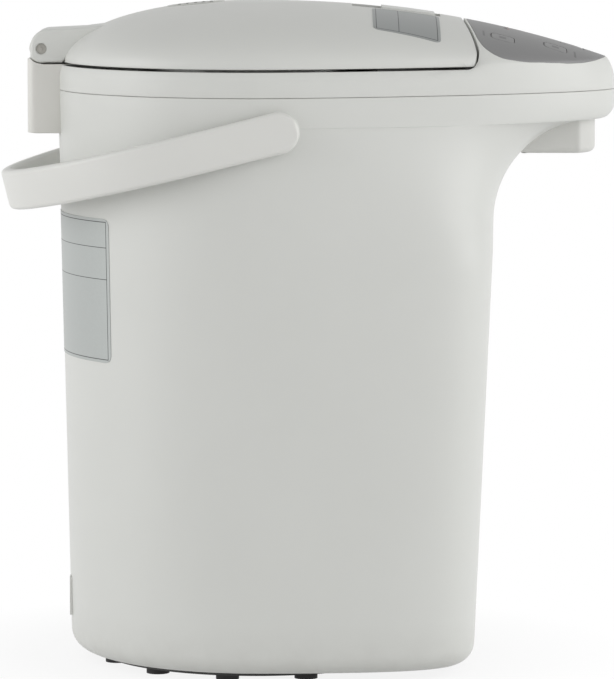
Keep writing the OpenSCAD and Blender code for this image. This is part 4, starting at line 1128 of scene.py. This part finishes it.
# %% [markdown]
# ## The nozzle
# Under the beak a block shields the spout. Seen from above its sides are flat and its front is bowed, so
# the front catches the light as one pale band; the lower edge is soft, and the spout ends out of the way.

# %% Nozzle block
def bowed_outline(bow):
    """The block from above: flat back and sides, and a front that bows out by so much."""
    r = (nozzle_half ** 2 + bow ** 2) / (2 * bow)
    t = np.linspace(-1, 1, 25) * math.asin(nozzle_half / r)
    front_line = np.column_stack([r * np.sin(t), -nozzle_length / 2 + r * (1 - np.cos(t))])
    corners = [(nozzle_half, nozzle_length / 2), (-nozzle_half, nozzle_length / 2)]
    return evenly(relaxed(evenly(np.vstack([front_line, corners]), 130), 2), 130)


nozzle_top, nozzle_bow, nozzle_edge = 273.4, 8.6, 3.2
nozzle = block("nozzle_block", bowed_outline(nozzle_bow), nozzle_z, nozzle_top, nozzle_edge, 8, 0.0)
shift(nozzle, y=-spout_y)
cut(nozzle, [shift(rod("spout room", spout_hole_r, 250, 290), y=-spout_y)])
dress(nozzle, 40, nozzle_plastic, "housing", ["nozzle_cover"])

# %% [markdown]
# ## The level window
# The water level shows through a slim strip in the front. It is lofted level by level on the case's own
# slope, a hair smaller than its slot, with soft edges; its marks are drawn in the material by height.

# %% Level window
def window_piece():
    gap, corner, soft_edge = 0.15, 2.0, 0.35
    low, high = window_low + gap, window_high - gap
    rows = []
    for z in np.concatenate([[low], np.linspace(window_low + 0.6, window_high - 0.6, 40), [high]]):
        end = min(z - window_low - gap, high - z)
        half = window_w / 2 - gap - (corner - math.sqrt(max(corner ** 2 - max(corner - end, 0) ** 2, 0)))
        y = -float(front(z)) + soft_edge
        x = np.linspace(-half, half, 9)
        edge = soft_edge * np.clip(1 - (half - np.abs(x)) / 0.5, 0, 1) ** 2
        rows.append(np.vstack([np.column_stack([x, y + edge, np.full(9, z)]),
                               np.column_stack([x[::-1], np.full(9, y + 1.6), np.full(9, z)])]))
    return loft("level_strip", rows, caps=True)


def window_finish():
    """A pale strip with a mark at each centimetre, on one side of its width."""
    made, shader, place = start("level window")
    x, _, z = split(place)
    mark = (z * 100.0).node("ShaderNodeMath", operation="FRACT")
    line = near(mark, 0.5, 0.09) > 0.2
    tone = blend_colours(line * (x > 0.0012), srgb(92, 98, 100), srgb(228, 228, 224))
    coat(shader, tone, 0.1 + noise(place, 60.0, 2.0) * 0.1, place, 500.0, 0.004)
    return made


dress(window_piece(), 40, window_finish(), "housing", ["level_window"])

# %% [markdown]
# ## The blank plates
# The plates at the back and on the lid stay blank: silvery film with rounded corners and thin dark rules.
# They are thin sheets laid on the shell, so they are lofted on its own curves; the rules are drawn in the
# material, by height and angle at the back and by x and y on the lid.

# %% Plates
plate_low, plate_high, plate_half = 155.0, 226.0, 43.0         # heights in mm, half width in degrees
lid_plate_x, lid_plate_y = (-64.0, -21.0), (-90.0, -57.0)
frame_half, rule_half, past_frame, ink = 0.0003, 0.00025, 0.00015, 1.6     # of the printed lines, in metres


def plate_finish(name, rules, tone_at):
    """Silvery film; rules(x, y, z) gives 1 on a printed line."""
    made, shader, place = start(name)
    fleck = noise(place, 900.0, 2.0)
    base = blend_colours(fleck, shaded(srgb(*tone_at), 0.94), shaded(srgb(*tone_at), 1.05))
    tone = blend_colours(rules(*split(place)).at_most(1.0), base, srgb(70, 72, 72))
    shader.inputs["Metallic"].default_value = 0.25
    coat(shader, tone, 0.34 + fleck * 0.12, place, 900.0, 0.006)
    return made


def back_rules(x, y, z):
    """A thin frame inside the plate's edge and two rules across it."""
    turn_at, high = abs(x.worked("ARCTAN2", y, False)), plate_high - plate_low
    mid, half = (plate_low + plate_high) / 2 * MM, (high / 2 - 1.6) * MM
    side_at = math.radians(plate_half - 1.2)
    inside_z = abs(z - mid) < half + past_frame
    inside_a = turn_at < side_at + 0.002
    frame_line = near(abs(z - mid), half, frame_half) * inside_a + near(turn_at, side_at, 0.0032) * inside_z
    cross = near(z, (plate_high - 0.2 * high) * MM, rule_half)
    cross = cross + near(z, (plate_high - 0.42 * high) * MM, rule_half)
    return (frame_line + cross * inside_a) * ink


def rear_sheet():
    half, corner = math.radians(plate_half), 4.0
    rows = []
    for z in np.concatenate([np.linspace(plate_low, plate_low + corner, 7),
                             np.linspace(plate_low + 10, plate_high - 10, 12),
                             np.linspace(plate_high - corner, plate_high, 7)]):
        end = min(z - plate_low, plate_high - z)
        cut_back = corner / seam_r * (1 - math.sqrt(max(1 - max(1 - end / corner, 0) ** 2, 0)))
        a = np.linspace(-half + cut_back, half - cut_back, 97)
        r = side(z)
        outer, inner = [np.column_stack([(r + up) * np.sin(a), (r + up) * np.cos(a), np.full(97, z)])
                        for up in (0.28, -0.05)]
        rows.append(np.vstack([outer, inner[::-1]]))
    return loft("rear_plate_sheet", rows, caps=True)


def lid_sheet():
    (x0, x1), (y0, y1) = lid_plate_x, lid_plate_y
    centre = np.array([(x0 + x1) / 2, (y0 + y1) / 2])
    outline = evenly(rounded_outline(x1 - x0, y1 - y0, 3.0, 8), 160) + centre
    middle = outline.mean(0)
    rings = [at_z(outline, lid_dome(outline) + up) for up in (-0.05, 0.22)]
    for s in (0.995, 0.9, 0.75, 0.6, 0.45, 0.3, 0.15, 0.02):
        p = middle + (outline - middle) * s
        rings.append(at_z(p, lid_dome(p) + 0.28))
    return loft("lid_plate_sheet", rings, caps=True)


def lid_rules(x, y, _):
    """A thin frame inside the plate's edge and one rule across it."""
    (x0, x1), (y0, y1) = lid_plate_x, lid_plate_y
    across, along = abs(x - (x0 + x1) / 2 * MM), abs(y - (y0 + y1) / 2 * MM)
    half_x, half_y = ((x1 - x0) / 2 - 1.5) * MM, ((y1 - y0) / 2 - 1.5) * MM
    inside = (across < half_x + past_frame) * (along < half_y + past_frame)
    edge = near(across, half_x, frame_half) + near(along, half_y, frame_half)
    edge = edge + near(y, (y0 + 0.62 * (y1 - y0)) * MM, rule_half)
    return edge * inside * ink


rear_film = plate_finish("rear plate film", back_rules, (178, 182, 180))
lid_film = plate_finish("lid plate film", lid_rules, (160, 163, 162))
dress(rear_sheet(), 30, rear_film, "housing", ["rear_plate"])
dress(lid_sheet(), 30, lid_film, "lid", ["lid_plate"])

# %% [markdown]
# ## Small parts that keep their solids
# Many parts are already right as solids: the lever, the tray, the base, the feet, the pot and the works
# inside. They only need their finish, and those that come into view also a small radius along their
# edges, as moulding leaves it. A bevel as a modifier gives that and leaves the solid's own mesh alone.

# %% Finishes for the solids
wears = {
    inner_plastic: ["lid_inner_plate", "lever_tray", "pump_housing", "pump_cover", "spout_pipe",
                    "latch_bolt"],
    shell_plastic: ["lid_lever"],
    dark_plastic: ["base_cover", "swivel_base", "relay"],
    socket_plastic: ["power_socket"],
    rubber: ["swivel_pads"],
    seal_rubber: ["mouth_gasket", "lid_gasket", "suction_elbow"],
    milky: ["riser_pipe", "impeller"],
    bright_steel: ["base_screws", "handle_studs", "lever_spring", "swivel_retainer", "lid_plug", "pump_motor",
                   "thermostat", "tip_valve_ball", "pot_stand", "heater_plate"],
    pot_steel: ["inner_pot"],
    brass: ["socket_pins"],
    wool: ["insulation_jacket"],
    mica: ["heater_band"],
    board_green: ["power_board", "control_board"],
    core_black: ["transformer", "key_switches", "drive_magnet", "thermal_fuse"],
    wire_cover: ["wiring_harness"],
    lamp_dome: ["indicator_lamps"],
}
for material, names in wears.items():
    for name in names:
        nodes[name].data.materials.clear()
        nodes[name].data.materials.append(material)
soft_solids = {0.3: ["lever_tray"], 0.4: ["swivel_pads", "base_cover", "power_socket", "lid_inner_plate"],
               0.5: ["lid_lever", "swivel_base", "latch_bolt"], 0.8: ["lid_plug"]}
for width, names in soft_solids.items():
    for name in names:
        soften(nodes[name], width)
print("solids dressed:", sum(len(names) for names in wears.values()))

# %% [markdown]
# ## Stage, light and camera
# The pot stands on a pale floor before white. Two broad soft lamps carry the shape, one on the beak's
# side and a slightly weaker one behind the pot, both a little towards the camera. The pale surroundings
# do the rest, with less from above, since the picture's lid is darker than its sides.

# %% Stage
def either(tree, *rays):
    """1 for rays of these kinds, 0 for all others."""
    path = tree.nodes.new("ShaderNodeLightPath")
    first, second = [Shade(tree, path.outputs["Is " + ray + " Ray"]) for ray in rays]
    return (first + second).at_most(1.0)


def floor_finish():
    """Pale and dull, but plain white to the eye, apart from a soft shadow round the foot."""
    made, shader, place = start("studio floor")
    tree, foot_reach, fade_width, white_at_foot = made.node_tree, 0.11, 0.08, 0.87
    tone = blend_colours(noise(place, 3.0, 2.0), (0.86, 0.86, 0.86, 1), (0.89, 0.89, 0.89, 1))
    tree.links.new(tone.socket, shader.inputs["Base Color"])
    shader.inputs["Roughness"].default_value = 0.9
    glow = tree.nodes.new("ShaderNodeEmission")
    glow.inputs["Color"].default_value = (1, 1, 1, 1)
    away = (place.node("ShaderNodeVectorMath", out=1, operation="LENGTH") - foot_reach) / fade_width
    fade = away.at_least(0.0).at_most(1.0)
    part = either(tree, "Camera", "Glossy") * (white_at_foot + (1 - white_at_foot) * fade)
    both = tree.nodes.new("ShaderNodeMixShader")
    for source, target in ((part.socket, both.inputs[0]), (shader.outputs[0], both.inputs[1]),
                           (glow.outputs[0], both.inputs[2]),
                           (both.outputs[0], tree.nodes["Material Output"].inputs["Surface"])):
        tree.links.new(source, target)
    return made


far = 9000
corners = [(-far, -far, 0), (far, -far, 0), (far, far, 0), (-far, far, 0)]
floor = new_piece("studio_floor", corners, [(0, 1, 2, 3)])
floor.data.materials.append(floor_finish())

world = bpy.data.worlds.new("studio")
bpy.context.scene.world = world
world.use_nodes = True
sky = world.node_tree
for node in list(sky.nodes):
    sky.nodes.remove(node)
up = split(Shade(sky, sky.nodes.new("ShaderNodeTexCoord").outputs["Generated"]))[2]
from_above, more_beside = 0.34, 0.64
level = from_above + (1 - abs(up)) * more_beside
seen = either(sky, "Camera", "Transmission")
strength = level * (1 - seen) + seen
background = sky.nodes.new("ShaderNodeBackground")
background.inputs["Color"].default_value = (1, 1, 1, 1)
sky.links.new(strength.socket, background.inputs["Strength"])
output = sky.nodes.new("ShaderNodeOutputWorld")
sky.links.new(background.outputs[0], output.inputs[0])


def soft_lamp(name, spot, watts):
    """A broad square lamp that looks at the middle of the pot."""
    lamp = bpy.data.lights.new(name, "AREA")
    lamp.shape, lamp.size, lamp.energy = "SQUARE", 1.8, watts
    made = bpy.data.objects.new(name, lamp)
    made.location = spot
    made.rotation_euler = (Vector((0, 0, 0.17)) - Vector(spot)).to_track_quat("-Z", "Y").to_euler()
    bpy.context.scene.collection.objects.link(made)


soft_lamp("key lamp", (-0.65, -2.5, 0.9), 26.5)
soft_lamp("fill lamp", (-0.65, 2.5, 0.8), 22)
print("stage and lamps set")

# %% [markdown]
# ## The camera
# The picture was taken from the pot's side, from well over two metres away and a little above the lid:
# the far edge of the lid stays hidden and the feet are seen almost level. A long lens keeps the beak's
# and the handle's proportions.

# %% Camera
lens = bpy.data.cameras.new("picture camera")
lens.sensor_fit, lens.sensor_height, lens.lens = "VERTICAL", 36.0, 248.7
camera = bpy.data.objects.new("picture camera", lens)
camera.location = (-2.350, -0.0247, 0.411)
tilt_down = 6.10
camera.rotation_euler = (math.radians(90 - tilt_down), 0, math.radians(-90))
bpy.context.scene.collection.objects.link(camera)
bpy.context.scene.camera = camera
bpy.context.scene.view_settings.view_transform = "Standard"
print("camera at", tuple(camera.location))
